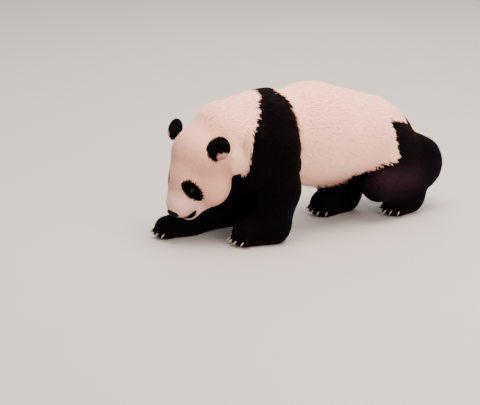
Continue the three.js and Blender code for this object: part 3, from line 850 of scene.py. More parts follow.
def markings(p):
    """How black the coat is at each place, from 0 to 1."""
    values = mass_values(p)
    trunk = fuse(SOFTNESS["trunk"], values["trunk"] + values["neck"])
    fore = np.minimum.reduce(values["foreleg_left"][1:] + values["foreleg_right"][1:])
    hind = np.minimum.reduce(values["hindleg_left"] + values["hindleg_right"])
    head = np.minimum.reduce(values["head"])
    ragged = sum(size * wander(p, length) for size, length in RAGGEDNESS)
    black = shoulder_black(p, trunk, fore) + ragged
    rump, stifle = rump_and_stifle(p, trunk, hind)
    hindquarters = -blend(-rump, -stifle, MARK_CORNER) + ragged
    at_stifle = (stifle > rump) & (hindquarters > black)
    edge = np.where(at_stifle, EDGE_WIDTHS["stifle"], EDGE_WIDTHS["body"])
    black = np.minimum(np.maximum(black, hindquarters), values["tail"][0] - TAIL_WHITE)
    q = head_place(p)
    on_face = (head < trunk + FACE_EDGES[0]) & (head < fore + FACE_EDGES[1])
    black = np.where(on_face, face_black(p, q), black)
    edge = np.where(on_face, EDGE_WIDTHS["face"], edge)
    ears = ear_distance(p)
    on_ear = ears < EAR_REACH
    black = np.where(on_ear, lobe_black(p, q, ears), black)
    edge = np.where(on_ear, EDGE_WIDTHS["ear"], edge)
    return np.clip(0.5 + black / edge, 0, 1)


# ======================================================================== skin
# One hide over the whole body, without a seam: cream where the coat is white and dark
# where it is black. It is stretched over the carved form, and the coat is set in it.

HIDE_PALE = (0.82, 0.47, 0.35, 1)
HIDE_DARK = (0.0014, 0.0006, 0.0009, 1)

# Spacing of the grid that the skin's net is made on, as rows of (start, end, spacing).
SKIN_X = [(-172, 182, 3.7)]
SKIN_Y = [(-246, -84, 2.6), (-84, 690, 5.0)]
SKIN_Z = [(-8, 60, 3.4), (60, 250, 2.9), (250, 430, 4.4)]

FLESH_NODES = ["head", "ear_left", "ear_right", "neck", "shoulders", "trunk", "tail"]
for leg in JOINTS:
    FLESH_NODES.append(leg)
    FLESH_NODES.append(leg.replace("foreleg", "forepaw").replace("hindleg", "hindpaw"))


def grid_lines(stretches):
    return np.concatenate([np.arange(*stretch) for stretch in stretches])


def point_numbers(mesh, name, numbers):
    """A number at each point of a mesh, for its material to read."""
    layer = mesh.attributes.new(name, "FLOAT", "POINT")
    layer.data.foreach_set("value", np.ascontiguousarray(numbers, dtype=np.float32))


def mesh_number(tree, name):
    """The number of that name which the mesh holds at each point."""
    return add_node(tree, "ShaderNodeAttribute", attribute_name=name).outputs["Fac"]


COLOUR = "NodeSocketColor"
NUMBER = "NodeSocketFloat"


def node_group(name, inputs, outputs):
    """A shader node group with its sockets, its tree and its two end nodes."""
    group = bpy.data.node_groups.new(name, "ShaderNodeTree")
    for label, kind, value in inputs:
        socket = group.interface.new_socket(label, in_out="INPUT", socket_type=kind)
        socket.default_value = value
    for label, kind in outputs:
        group.interface.new_socket(label, in_out="OUTPUT", socket_type=kind)
    start = add_node(group, "NodeGroupInput")
    end = add_node(group, "NodeGroupOutput")
    return group, start, end


def grain_group():
    """Fine grain raised on a surface, as a height for a bump, at two sizes."""
    group, start, end = node_group(
        "fine_grain",
        [("Size", NUMBER, 400.0), ("Coarse Share", NUMBER, 0.4)],
        [("Height", NUMBER)])
    link = group.links.new
    where = add_node(group, "ShaderNodeTexCoord")
    fine = add_node(group, "ShaderNodeTexNoise")
    fine.inputs["Detail"].default_value = 3.0
    coarse = add_node(group, "ShaderNodeTexVoronoi")
    wider = add_node(group, "ShaderNodeMath", operation="MULTIPLY")
    wider.inputs[1].default_value = 0.4
    link(start.outputs["Size"], wider.inputs[0])
    link(start.outputs["Size"], fine.inputs["Scale"])
    link(wider.outputs["Value"], coarse.inputs["Scale"])
    for texture in (fine, coarse):
        link(where.outputs["Object"], texture.inputs["Vector"])
    both = add_node(group, "ShaderNodeMix", data_type="FLOAT")
    link(start.outputs["Coarse Share"], both.inputs["Factor"])
    link(fine.outputs["Fac"], both.inputs["A"])
    link(coarse.outputs["Distance"], both.inputs["B"])
    link(both.outputs["Result"], end.inputs["Height"])
    return group


FINE_GRAIN = grain_group()


def place_group(tree, group, **values):
    node = add_node(tree, "ShaderNodeGroup", node_tree=group)
    for label, value in values.items():
        node.inputs[label.replace("_", " ")].default_value = value
    return node


def raised_grain(tree, shader, size, coarse_share, strength, depth):
    """Raises the fine grain on a surface by a given depth in metres."""
    grain = place_group(tree, FINE_GRAIN, Size=size, Coarse_Share=coarse_share)
    bump = add_node(tree, "ShaderNodeBump")
    bump.inputs["Strength"].default_value = strength
    bump.inputs["Distance"].default_value = depth
    tree.links.new(grain.outputs["Height"], bump.inputs["Height"])
    tree.links.new(bump.outputs["Normal"], shader.inputs["Normal"])


skin_points, skin_quads = net_of(carved_body, *map(grid_lines, (SKIN_X, SKIN_Y, SKIN_Z)))
skin_points[:, 2] = np.maximum(skin_points[:, 2], 0)
skin = joined_mesh("skin", in_frame(skin_points), skin_quads)
point_numbers(skin.data, "dark", in_turns(markings, skin_points))
hide, tree, shader = new_material("hide")
colour = mixed(tree, mesh_number(tree, "dark"), HIDE_PALE, HIDE_DARK)
tree.links.new(colour, shader.inputs["Base Color"])
shader.inputs["Roughness"].default_value = 0.85
shader.inputs["Specular IOR Level"].default_value = 0.05
raised_grain(tree, shader, size=420.0, coarse_share=0.2, strength=0.5, depth=0.0012)
skin.data.materials.append(hide)
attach(skin, "root")
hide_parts(*FLESH_NODES)

# ======================================================================== coat
# Tufts of hair set in the skin one by one, each a thin lock that rises from its root,
# bends over and lies along the body over the next ones. Cream and black tufts are kept
# in pieces of their own, one for each stretch of the body.

# Each lock is darker at its root than at its tip: painted shade where the locks lie over each
# other.
CREAM_SHADED_ROOT = (0.82, 0.47, 0.35, 1)
CREAM_TIP = (0.90, 0.55, 0.43, 1)
CREAM_STAIN = (0.985, 0.925, 0.88, 1)
CREAM_COOL = (0.98, 1.10, 1.32, 1)    # on the muzzle, and as painted shade on the lower flank
CREAM_DARKENING = (0.46, 0.37, 0.37, 1)    # darker on the face and round the ears, and painted shade on the lower flank
BLACK_SHADED_ROOT = (0.0007, 0.00035, 0.0005, 1)
BLACK_TIP = (0.0014, 0.0007, 0.0010, 1)
BLACK_STAIN = (1.25, 0.95, 1.1, 1)
BLACK_SHEEN = (10.0, 12.0, 11.0, 1)   # painted sheen on the sides of the thighs
NO_DARKENING = (1, 1, 1, 1)


def hair_colour_group():
    """Hair that darkens from tip to root as painted shade, and changes from tuft to tuft and from
    place to place.
    """
    group, start, end = node_group(
        "hair_colour",
        [("Root", COLOUR, (0, 0, 0, 1)), ("Tip", COLOUR, (1, 1, 1, 1)),
         ("Stain", COLOUR, (1, 1, 1, 1)), ("Stain Size", NUMBER, 8.0),
         ("Cool", COLOUR, (1, 1, 1, 1)), ("Soil", COLOUR, (1, 1, 1, 1)),
         ("Tone Spread", NUMBER, 0.1)],
        [("Color", COLOUR)])
    link = group.links.new
    where = add_node(group, "ShaderNodeTexCoord")
    clouds = add_node(group, "ShaderNodeTexNoise")
    clouds.inputs["Detail"].default_value = 2.0
    link(where.outputs["Object"], clouds.inputs["Vector"])
    link(start.outputs["Stain Size"], clouds.inputs["Scale"])
    stained = add_node(group, "ShaderNodeMapRange")
    stained.inputs["From Min"].default_value = 0.42
    stained.inputs["From Max"].default_value = 0.72
    link(clouds.outputs["Fac"], stained.inputs["Value"])
    # darker towards the root: painted shade between the locks
    colour = mixed(group, mesh_number(group, "along"), start.outputs["Root"], start.outputs["Tip"])
    # stains, then the cool tint and the darkening, which also carry painted sheen and shade
    for label, share in (("Stain", stained.outputs["Result"]),
                         ("Cool", mesh_number(group, "cool")),
                         ("Soil", mesh_number(group, "darkening"))):
        colour = mixed(group, share, colour, start.outputs[label], "MULTIPLY")
    centred = add_node(group, "ShaderNodeMath", operation="SUBTRACT")
    centred.inputs[1].default_value = 0.5
    link(mesh_number(group, "tone"), centred.inputs[0])
    scaled = add_node(group, "ShaderNodeMath", operation="MULTIPLY_ADD")
    scaled.inputs[2].default_value = 1.0
    link(centred.outputs["Value"], scaled.inputs[0])
    link(start.outputs["Tone Spread"], scaled.inputs[1])
    toned = add_node(group, "ShaderNodeHueSaturation")
    link(scaled.outputs["Value"], toned.inputs["Value"])
    link(colour, toned.inputs["Color"])
    link(toned.outputs["Color"], end.inputs["Color"])
    return group


HAIR_COLOUR = hair_colour_group()


def hair_material(name, root, tip, stain, cool, darkening, spread, gloss, sheen, sheen_tint):
    material, tree, shader = new_material(name)
    colour = place_group(tree, HAIR_COLOUR, Root=root, Tip=tip, Stain=stain,
                         Stain_Size=7.0, Cool=cool, Soil=darkening, Tone_Spread=spread)
    tree.links.new(colour.outputs["Color"], shader.inputs["Base Color"])
    shader.inputs["Roughness"].default_value = 0.82
    shader.inputs["Specular IOR Level"].default_value = gloss
    shader.inputs["Sheen Weight"].default_value = sheen
    shader.inputs["Sheen Roughness"].default_value = 0.55
    shader.inputs["Sheen Tint"].default_value = sheen_tint
    return material


cream_hair = hair_material(
    "cream_hair", CREAM_SHADED_ROOT, CREAM_TIP, CREAM_STAIN, CREAM_COOL, CREAM_DARKENING,
    spread=0.07, gloss=0.15, sheen=0.06, sheen_tint=(1.0, 0.86, 0.80, 1))
black_hair = hair_material(
    "black_hair", BLACK_SHADED_ROOT, BLACK_TIP, BLACK_STAIN, BLACK_SHEEN, NO_DARKENING,
    spread=0.5, gloss=0.03, sheen=0.012, sheen_tint=(0.7, 0.5, 0.72, 1))

# What the tufts are drawn with: the seed, how many roots at a time, and the spread of each
# measure round that of its kind of coat.
TUFT_DRAW = 41
ROOTS_AT_ONCE = 20000
TURN_SPREAD = 0.07
LENGTH_SPREAD = (0.84, 1.12)
WIDTH_SPREAD = (0.8, 1.2)
LIFT_SPREAD = (0.93, 1.02)
HANG_SPREAD = (0.6, 1.2)
BLACK_SPREAD = (0.15, 0.85)           # how black the place is where a tuft turns black

TURN_WANDER = (0.12, 70)              # how far the lie wanders, in radians, and over what length
SOLE_HEIGHT = 3.0                     # the soles are bare below this, where they face down
SOLE_FACING = -0.3
BARE_LIDS = 4.2
BARE_LIPS = 1.6
EAR_COAT = 3                          # tufts this near an ear are its own
EAR_ROOTS = {side: on_head(8, 62 * side, -22) for side in SIDES}
FLANK_DROOP = 0.45                    # how far the hair on the sides turns down
RING_PLACES = (0.0, 0.33, 0.70)       # where a lock's rings are, from root to tip
RING_WIDTHS = (0.7, 1.0, 0.82)
LOCK_THICKNESS = 0.14                 # of its width
LOCK_ROUNDNESS = 0.35                 # how far its edges turn away, so that locks run together
LOCK_BEND = 2.4                       # how soon a lock has risen to the coat's face
HANG_BEND = 1.5
ROOT_DEPTH = 1.2                      # how far a root is sunk in the skin
TIP_DEPTH = 0.8                       # how far a lock stays under the coat's face
MOST_SHIFT = 16                       # how far a ring may be moved to its height
FLOOR_GAP = 0.3                       # the lowest that a lock may hang
BELLY_TOP = (150, 120)                # heights between which the belly's fringe gets long
BELLY_HANG = 20.0
CLUMP_SIZE = 16                       # of the locks that hang together

# Where the hair is darker, cooler, or painted with sheen or shade: ramps along the head, down the
# body and back.
MUZZLE_ALONG = (150, 175)
FACE_ALONG = (-30, 40)
FACE_DARKENING = 0.4
EAR_DARKENING = 0.8
# Painted sheen on the sides of the black thighs, lighter and greyer.
SHEEN_ASIDE = (60, 100)
SHEEN_HEIGHT = 135
SHEEN_SPREAD = 42
SHEEN_BACK = (330, 420)
SHEEN_END = (610, 520)
SHEEN_LEAST = 0.25                     # what is left of it past the end
# Painted shade on the lower flank: its cream hair darker and cooler.
FLANK_TOP = (210, 145)
FLANK_FOOT = (100, 140)
FLANK_BACK = (170, 300)
FLANK_SHADE_COOL = 0.7


def tuft_spacing(p):
    return coat_measure(owners_of(p), "apart")


def set_roots(draw):
    """Roots spread evenly over the skin, as close as each kind of coat has them."""
    corner = skin_points[skin_quads]
    cross = np.cross(corner[:, 2] - corner[:, 0], corner[:, 3] - corner[:, 1])
    area = np.linalg.norm(cross, axis=1) / 2
    wanted = area / in_turns(tuft_spacing, corner.mean(1)) ** 2
    count = np.floor(wanted + draw.random(len(wanted))).astype(int)
    chosen = np.repeat(corner, count, axis=0)
    r, s = draw.random((2, len(chosen), 1))
    low = chosen[:, 0] * (1 - r) + chosen[:, 1] * r
    high = chosen[:, 3] * (1 - r) + chosen[:, 2] * r
    return low * (1 - s) + high * s


def bare(p, outward):
    """Where no tuft grows: under the soles, on the eyes and lids, nose pad and lips."""
    q = head_place(p)
    none = (p[:, 2] < SOLE_HEIGHT) & (outward[:, 2] < SOLE_FACING)
    for centre, _ in SOCKETS.values():
        none |= np.linalg.norm(p - centre, axis=1) < EYE_RADIUS + BARE_LIDS
    none |= NOSE_PAD(q) < 0.5
    none |= mouth_distance(q) < BARE_LIPS
    return none


def along_skin(lie, outward):
    lie = lie - outward * (lie * outward).sum(1)[:, None]
    return lie / np.maximum(np.linalg.norm(lie, axis=1), 1e-6)[:, None]


def lie_of_coat(p, owners, outward):
    """The way the hair runs at each place, along the skin."""
    lie = np.zeros_like(p)
    for kind, way, weight in owners:
        if kind == "ear":
            on_left = head_place(p)[:, 1] > 0
            root = np.where(on_left[:, None], EAR_ROOTS[1], EAR_ROOTS[-1])
            way = (p - root) / np.linalg.norm(p - root, axis=1)[:, None]
        lie += weight[:, None] * np.asarray(way)
        if kind in ("trunk", "neck"):
            lie[:, 2] -= FLANK_DROOP * weight * np.abs(outward[:, 0])
    return along_skin(lie, outward)


def hair_tints(roots, black, stretch, ears):
    """How cool and how darkened each tuft is by where on the body it grows, painted shade and sheen
    included.
    """
    x, y, z = roots.T
    on_face = stretch == "head"
    on_trunk = stretch == "trunk"
    behind = on_trunk | (stretch == "hindleg_left") | (stretch == "hindleg_right")
    along_head = head_place(roots)[:, 0]
    muzzle = ramp(along_head, *MUZZLE_ALONG)
    face = FACE_DARKENING * ramp(along_head, *FACE_ALONG) * (1 - muzzle)
    # painted shade on the lower flank
    painted_flank_shade = ramp(z, *FLANK_TOP) * ramp(y, *FLANK_BACK) * ramp(z, *FLANK_FOOT)
    # painted sheen on the sides of the black thighs
    thigh_sheen = ramp(np.abs(x), *SHEEN_ASIDE) * np.exp(-((z - SHEEN_HEIGHT) / SHEEN_SPREAD) ** 2)
    thigh_sheen = thigh_sheen * np.maximum(ramp(y, *SHEEN_END), SHEEN_LEAST) * ramp(y, *SHEEN_BACK)
    cool_cream = np.select([on_face, on_trunk], [muzzle, FLANK_SHADE_COOL * painted_flank_shade], 0)
    cool = np.where(black, np.where(behind, thigh_sheen, 0), cool_cream)
    on_ear = ears < EAR_COAT
    darkening = np.select([on_face, on_trunk, on_ear], [face, painted_flank_shade, EAR_DARKENING], 0)
    return cool, darkening


def grow(roots, draw):
    """Everything about each tuft: its rings, tip, width, colour and which piece it is in."""
    _, outward, _ = slope(carved_body, roots)
    values = mass_values(roots)
    ears = ear_distance(roots)
    owners = nearness(values, ears)
    count = len(roots)
    lie = lie_of_coat(roots, owners, outward)
    size, length = TURN_WANDER
    turn = size * wander(roots, length) + draw.normal(0, TURN_SPREAD, count)
    side = np.cross(outward, lie)
    lie = lie * np.cos(turn)[:, None] + side * np.sin(turn)[:, None]
    length = coat_measure(owners, "length") * draw.uniform(*LENGTH_SPREAD, count)
    width = coat_measure(owners, "width") * draw.uniform(*WIDTH_SPREAD, count)
    lift = draw.uniform(*LIFT_SPREAD, count)
    distances = [np.minimum.reduce(values[group]) for group in MASSES] + [ears - EAR_COAT]
    stretch = np.array([*MASSES, "ears"])[np.argmin(distances, axis=0)]
    under = (stretch == "trunk") * ramp(roots[:, 2], *BELLY_TOP) * np.clip(-3 * outward[:, 2], 0, 1)
    hang = BELLY_HANG * under * np.clip(2.2 * wander(roots, CLUMP_SIZE) - 0.1, 0, 1)
    hang = hang * draw.uniform(*HANG_SPREAD, count)
    place = roots - outward * ROOT_DEPTH
    rings = [(place, outward, np.cross(outward, lie))]
    for t, step in zip((*RING_PLACES[1:], 1.0), np.diff((*RING_PLACES, 1.0))):
        place = place + lie * (length * step)[:, None]
        above, outward, steep = slope(carved_body, place)
        depth = coat_depth(owners_of(place), place)
        height = depth * (1 - (1 - t) ** LOCK_BEND) * lift - TIP_DEPTH + hang * t ** HANG_BEND
        shift = np.clip(height - above / np.maximum(steep, 0.4), -MOST_SHIFT, MOST_SHIFT)
        place = place + outward * shift[:, None]
        lie = along_skin(lie, outward)
        rings.append((place, outward, np.cross(outward, lie)))
    black = markings(rings[2][0]) > draw.uniform(*BLACK_SPREAD, count)
    cool, darkening = hair_tints(roots, black, stretch, ears)
    return dict(roots=roots, rings=np.array(rings), width=width, black=black, stretch=stretch,
                cool=cool, darkening=darkening, tone=draw.random(count))


# Lines that the coat of each stretch is laid out round: a place on it, its direction
# and the way that counts as outward, so that each root has a place on a flat sheet.
SHEETS = {
    "head": (on_head(80, 0, -46), TO_NOSE, TO_BROW),
    "neck": ((-8, -10, 296), (0, -1, 0.1), (0, 0, 1)),
    "trunk": ((0, 320, 250), (0, 1, -0.12), (0, 0, 1)),
    "tail": ((0, 634, 191), (0, 0.8, -0.6), (0, 0.6, 0.8)),
    "foreleg_left": ((98, 50, 160), (0, -0.1, -1), (1, 0, 0)),
    "foreleg_right": ((-94, -40, 110), (0, -0.8, -0.6), (-1, 0, 0)),
    "hindleg_left": ((80, 530, 110), (0, 0.3, -1), (1, 0, 0)),
    "hindleg_right": ((-72, 440, 100), (0, 0.3, -1), (-1, 0, 0)),
}
LONG_COATS = ("trunk", "neck", "tail")     # their locks have a ring more, to follow the body
SHEET_EDGE = 0.003                    # the rim of the flat sheet, and the size of a lock on it
MOST_TUFTS = 12000                    # in one piece of the coat
FEWEST_TUFTS = 300


def on_sheet(p, stretch):
    """Where each root falls on the unwrapped skin of its stretch, from 0 to 1 both ways."""
    middle, axis, outward = SHEETS[stretch]
    axis = unit(axis)
    outward = unit(np.asarray(outward, float) - axis * (np.asarray(outward, float) @ axis))
    across = np.cross(axis, outward)
    q = p - np.asarray(middle, float)
    u = np.arctan2(q @ across, q @ outward)
    v = np.arctan2(q @ axis, np.hypot(q @ across, q @ outward))
    sheet = np.stack([u, v], 1)
    low, high = sheet.min(0), sheet.max(0)
    return SHEET_EDGE + (sheet - low) / np.maximum(high - low, 1e-6) * (1 - 2 * SHEET_EDGE)


def lock_faces(first, rings):
    """Triangles of locks whose points follow each other from the given numbers."""
    sides = ((0, 1), (1, 2), (2, 0))
    faces = [(0, 1, 2)]
    for ring in range(0, 3 * rings - 3, 3):
        for a, b in sides:
            faces.append((ring + b, ring + a, ring + 3 + b))
            faces.append((ring + a, ring + 3 + a, ring + 3 + b))
    last = 3 * rings - 3
    for a, b in sides:
        faces.append((last + b, last + a, last + 3))
    return (first[:, None, None] + np.array(faces)[None]).reshape(-1, 3)


def coat_piece(name, stretch, tufts, material):
    """One piece of the coat: locks joined in a mesh, with its sheet and its hair's numbers."""
    rings = 3 if stretch in LONG_COATS else 2
    size = 3 * rings + 1
    count = len(tufts["roots"])
    points = np.zeros((count, size, 3))
    facing = np.zeros((count, size, 3))
    for n, share in enumerate(RING_WIDTHS[:rings]):
        place, outward, across = tufts["rings"][n]
        half = 0.5 * share * tufts["width"][:, None]
        points[:, 3 * n] = place - across * half
        points[:, 3 * n + 1] = place + outward * half * 2 * LOCK_THICKNESS
        points[:, 3 * n + 2] = place + across * half
        facing[:, 3 * n] = outward - LOCK_ROUNDNESS * across
        facing[:, 3 * n + 1] = outward
        facing[:, 3 * n + 2] = outward + LOCK_ROUNDNESS * across
    points[:, -1], facing[:, -1], _ = tufts["rings"][-1]
    facing /= np.linalg.norm(facing, axis=2)[..., None]
    points[..., 2] = np.maximum(points[..., 2], FLOOR_GAP)
    faces = lock_faces(size * np.arange(count), rings)
    piece = joined_mesh(name, in_frame(points.reshape(-1, 3)), faces)
    across = np.array([0.0, 0.5, 1.0] * rings + [0.5])
    along = np.append(np.repeat(RING_PLACES[:rings], 3), 1.0)
    point_numbers(piece.data, "along", np.tile(along, count))
    for label in ("tone", "cool", "darkening"):
        point_numbers(piece.data, label, np.repeat(tufts[label], size))
    lock = np.tile(np.stack([across, along], 1), (count, 1))
    middle = np.repeat(on_sheet(tufts["roots"], stretch), size, axis=0)
    sheet = middle + (lock - 0.5) * SHEET_EDGE
    layer = piece.data.uv_layers.new(name="OFBake")
    layer.data.foreach_set("uv", sheet[faces.ravel()].astype(np.float32).ravel())
    piece.data.normals_split_custom_set_from_vertices(facing.reshape(-1, 3))
    piece.data.materials.append(material)
    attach(piece, "root")
    return piece


def grown_tufts():
    """All the tufts, grown batch by batch from roots that are drawn over the whole skin."""
    draw = np.random.default_rng(TUFT_DRAW)
    roots = set_roots(draw)
    grown = []
    for i in range(0, len(roots), ROOTS_AT_ONCE):
        batch = roots[i:i + ROOTS_AT_ONCE]
        _, outward, _ = slope(carved_body, batch)
        grown.append(grow(batch[~bare(batch, outward)], draw))
    return {key: np.concatenate([batch[key] for batch in grown], axis=2 if key == "rings" else 0)
            for key in grown[0]}


def picked(tufts, pick):
    return {key: rows[:, :, pick] if key == "rings" else rows[pick] for key, rows in tufts.items()}


tufts = grown_tufts()
tufts["stretch"][tufts["stretch"] == "ears"] = "head"
for black, material, colour in ((False, cream_hair, "cream"), (True, black_hair, "black")):
    same_hair = tufts["black"] == black
    for stretch in MASSES:
        mine = same_hair & (tufts["stretch"] == stretch)
        if mine.sum() < FEWEST_TUFTS:
            tufts["stretch"][mine] = "trunk"
    for stretch in MASSES:
        mine = np.nonzero(same_hair & (tufts["stretch"] == stretch))[0]
        order = mine[np.argsort(tufts["roots"][mine, 0])]
        parts = math.ceil(len(mine) / MOST_TUFTS)
        for n in range(parts):
            name = f"coat_{colour}_{stretch}" + (f"_{n + 1}" if parts > 1 else "")
            pick = np.array_split(order, parts)[n]
            piece = coat_piece(name, stretch, picked(tufts, pick), material)

# ======================================================================== eyes
# Two glass eyes, each a dark ball with a clear domed front and a brown ring round the
# pupil, set in its socket behind the lids so that only the front of it shows.

EYE_RINGS = 22
EYE_SPOKES = 36
CORNEA_REACH = math.radians(34)
CORNEA_RISE = 0.07                    # this and what follows are shares of the radius
IRIS_RADIUS = 0.62
IRIS_RIM = 0.12
IRIS_STREAKS = 0.14
PUPIL_RADIUS = 0.30
PUPIL_EDGE = 0.05
IRIS_BROWN = (0.006, 0.003, 0.002, 1)
PUPIL_BLACK = (0.001, 0.001, 0.001, 1)
EYE_RIM = (0.003, 0.002, 0.002, 1)


def spun(profile, spokes):
    """Rings turned round Z from (radius, height) rows that start and end on the axis."""
    turn = 2 * math.pi * np.arange(spokes) / spokes
    points = [(0.0, 0.0, profile[0][1])]
    for radius, height in profile[1:-1]:
        points.extend((radius * math.cos(a), radius * math.sin(a), height) for a in turn)
    points.append((0.0, 0.0, profile[-1][1]))
    faces = []
    for s in range(spokes):
        t = (s + 1) % spokes
        faces.append((0, 1 + s, 1 + t))
        for ring in range(len(profile) - 3):
            a = 1 + ring * spokes
            faces.append((a + s, a + spokes + s, a + spokes + t))
            faces.append((a + s, a + spokes + t, a + t))
        a = 1 + (len(profile) - 3) * spokes
        faces.append((a + s, len(points) - 1, a + t))
    return np.array(points), np.array(faces)


def eyeball(side):
    profile = []
    for n in range(EYE_RINGS + 1):
        angle = math.pi * n / EYE_RINGS
        dome = max(0.0, 1 - (angle / CORNEA_REACH) ** 2)
        radius = EYE_RADIUS * (1 + CORNEA_RISE * dome)
        profile.append((radius * math.sin(angle), radius * math.cos(angle)))
    points, faces = spun(profile, EYE_SPOKES)
    centre, axes = SOCKETS[side]
    piece = joined_mesh(f"eyeball_{SIDES[side]}", points * MILLIMETRE, faces)
    piece.location = in_frame(centre)
    piece.rotation_euler = Vector(axes[2]).to_track_quat("Z", "Y").to_euler()
    return piece


def eye_material():
    """Pupil, iris with fine spokes and dark rim, by distance from the middle of the front."""
    material, tree, shader = new_material("glass_eye")
    link = tree.links.new
    where = add_node(tree, "ShaderNodeTexCoord")
    flat = add_node(tree, "ShaderNodeVectorMath", operation="MULTIPLY")
    flat.inputs[1].default_value = (1000 / EYE_RADIUS, 1000 / EYE_RADIUS, 0)
    link(where.outputs["Object"], flat.inputs[0])
    radius = add_node(tree, "ShaderNodeVectorMath", operation="LENGTH")
    link(flat.outputs["Vector"], radius.inputs[0])
    spokes = add_node(tree, "ShaderNodeTexNoise")
    spokes.inputs["Scale"].default_value = 9.0
    turned = add_node(tree, "ShaderNodeVectorMath", operation="NORMALIZE")
    link(flat.outputs["Vector"], turned.inputs[0])
    link(turned.outputs["Vector"], spokes.inputs["Vector"])
    streak = add_node(tree, "ShaderNodeMath", operation="MULTIPLY_ADD")
    streak.inputs[1].default_value = IRIS_STREAKS
    link(spokes.outputs["Fac"], streak.inputs[0])
    link(radius.outputs["Value"], streak.inputs[2])
    bands = add_node(tree, "ShaderNodeValToRGB")
    stops = bands.color_ramp.elements
    for n, (position, colour) in enumerate([
            (PUPIL_RADIUS, PUPIL_BLACK), (PUPIL_RADIUS + PUPIL_EDGE, IRIS_BROWN),
            (IRIS_RADIUS, IRIS_BROWN), (IRIS_RADIUS + IRIS_RIM, EYE_RIM)]):
        stop = stops[n] if n < len(stops) else stops.new(position)
        stop.position = position
        stop.color = colour
    link(streak.outputs["Value"], bands.inputs["Fac"])
    link(bands.outputs["Color"], shader.inputs["Base Color"])
    shader.inputs["Roughness"].default_value = 0.08
    shader.inputs["Specular IOR Level"].default_value = 0.1
    shader.inputs["Coat Weight"].default_value = 0.06
    shader.inputs["Coat Roughness"].default_value = 0.02
    return material


glass_eye = eye_material()
for side, word in SIDES.items():
    ball = eyeball(side)
    ball.data.materials.append(glass_eye)
    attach(ball, "root")
    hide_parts(f"eye_{word}")

# ======================================================================== nose
# A broad pad of dark pebbled leather let into the tip of the muzzle, with two comma
# shaped nostrils and a groove that runs down from between them to the lip.

NOSE_GRID = 0.8
NOSE_BOX = ((190, 228), (-24, 24), (-28, 14))     # in the head's own directions
NOSE_RIM = 1.2                        # how rounded the rims of nostrils and groove are
PEBBLES = 900.0
PEBBLE_SHARE = 0.8
NOSE_BLACK = (0.0015, 0.001, 0.001, 1)
NOSE_WORN = (0.005, 0.003, 0.003, 1)


def nose_form(p):
    """The pad with its wings, less the nostrils and the groove."""
    q = head_place(p)
    left = mirrored(q)
    pad = fuse(2.0, [
        ellipsoid((212.5, 0, -3), (8, 19.5, 8.5))(q),
        ellipsoid((213, 0, -11), (8, 11, 9))(q),
        ellipsoid((211, 14, -7), (7, 6.5, 7.5))(left),
    ])
    nostril = ellipsoid((221, 8, -7), (6, 3.8, 2.8))(left)
    slit = bar((220, 11, -8), (214, 18, -12), 1.5, 0.9)(left)
    groove = bar((223, 0, -9), (219, 0, -26), 0.9, 1.2)(q)
    pad = carve(pad, blend(nostril, slit, 1.5), NOSE_RIM)
    return carve(pad, groove, NOSE_RIM)


corners = [on_head(a, b, c) for a in NOSE_BOX[0] for b in NOSE_BOX[1] for c in NOSE_BOX[2]]
low, high = np.min(corners, axis=0), np.max(corners, axis=0)
nose_lines = [np.arange(low[axis], high[axis], NOSE_GRID) for axis in range(3)]
nose_points, nose_quads = net_of(nose_form, *nose_lines)
nose = joined_mesh("nose_leather", in_frame(nose_points), nose_quads)
nose_leather, tree, shader = new_material("nose_leather")
grain = place_group(tree, FINE_GRAIN, Size=PEBBLES, Coarse_Share=PEBBLE_SHARE)
worn = mixed(tree, grain.outputs["Height"], NOSE_WORN, NOSE_BLACK)
tree.links.new(worn, shader.inputs["Base Color"])
shader.inputs["Roughness"].default_value = 0.45
shader.inputs["Specular IOR Level"].default_value = 0.04
raised_grain(tree, shader, PEBBLES, PEBBLE_SHARE, strength=0.5, depth=0.0006)
nose.data.materials.append(nose_leather)
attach(nose, "root")
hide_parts("nose_pad")

# ======================================================================== claws
# Five claws of brown horn on each paw, oval in section, hooked down to a blunt point and
# darker where they come out of the hair. Each is set into the tip of its toe.

CLAW_RINGS = 12
CLAW_SPOKES = 12
CLAW_REACH = 19.0
CLAW_TIP = 0.86                       # where the point is, of the reach
CLAW_DROP = 8.5
CLAW_HOOK = 0.14
CLAW_RADIUS = 3.5
CLAW_FLATNESS = 0.74
CLAW_TAPER = 0.55
CLAW_SUNK = 5.0
CLAW_INSET = 7                        # how far its root is behind the tip of the toe
CLAW_RAISE = 3
HORN_ROOT = (0.09, 0.06, 0.05, 1)
HORN_TIP = (0.40, 0.33, 0.28, 1)


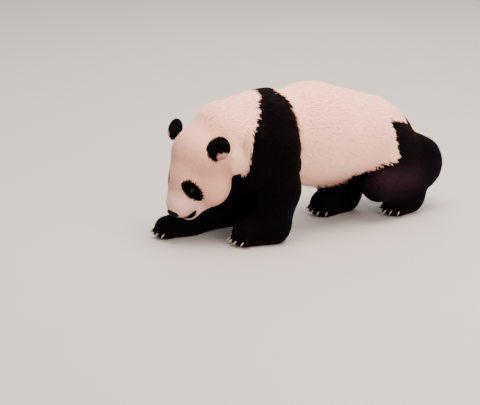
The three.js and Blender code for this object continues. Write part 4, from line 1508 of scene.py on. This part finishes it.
def claw(place, facing, across):
    """Rings of an oval that thins to a point, following the hook of the claw."""
    root = place + facing * (TOE_RADII[0] - CLAW_INSET)
    root[2] = place[2] + CLAW_RAISE
    turn = 2 * math.pi * np.arange(CLAW_SPOKES) / CLAW_SPOKES
    points = []
    along = []
    for n in range(CLAW_RINGS):
        t = n / CLAW_RINGS
        ahead = CLAW_REACH * (t - CLAW_HOOK * t * t) - CLAW_SUNK * (1 - t) ** 2
        centre = root + facing * ahead - np.array([0, 0, CLAW_DROP * t * t])
        radius = CLAW_RADIUS * (1 - t) ** CLAW_TAPER
        points.extend(centre + across * CLAW_FLATNESS * radius * math.cos(a)
                      + np.array([0, 0, radius * math.sin(a)]) for a in turn)
        along.extend([t] * CLAW_SPOKES)
    points.append(root + facing * CLAW_REACH * CLAW_TIP - np.array([0, 0, CLAW_DROP]))
    points.append(root - facing * CLAW_SUNK)
    along.extend([1.0, 0.0])
    faces = []
    last = CLAW_RINGS * CLAW_SPOKES
    for s in range(CLAW_SPOKES):
        t = (s + 1) % CLAW_SPOKES
        for n in range(CLAW_RINGS - 1):
            a = n * CLAW_SPOKES
            faces.append((a + s, a + t, a + CLAW_SPOKES + t))
            faces.append((a + s, a + CLAW_SPOKES + t, a + CLAW_SPOKES + s))
        a = last - CLAW_SPOKES
        faces.append((a + s, a + t, last))
        faces.append((t, s, last + 1))
    return points, faces, along


claw_horn, tree, shader = new_material("claw_horn")
horn = mixed(tree, mesh_number(tree, "along"), HORN_ROOT, HORN_TIP)
tree.links.new(horn, shader.inputs["Base Color"])
shader.inputs["Roughness"].default_value = 0.34
raised_grain(tree, shader, size=600.0, coarse_share=0.3, strength=0.25, depth=0.0004)

for leg, toes in TOES.items():
    points, faces, along = [], [], []
    for toe in toes:
        new_points, new_faces, new_along = claw(*toe)
        faces.extend(tuple(index + len(points) for index in face) for face in new_faces)
        points.extend(new_points)
        along.extend(new_along)
    name = leg.replace("leg", "claw")
    claws = joined_mesh(f"{name}s", in_frame(np.array(points)), np.array(faces))
    point_numbers(claws.data, "along", along)
    claws.data.materials.append(claw_horn)
    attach(claws, "root")
    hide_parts(*[f"{name}_{n + 1}" for n in range(len(toes))])

# ======================================================================== size

low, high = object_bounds()
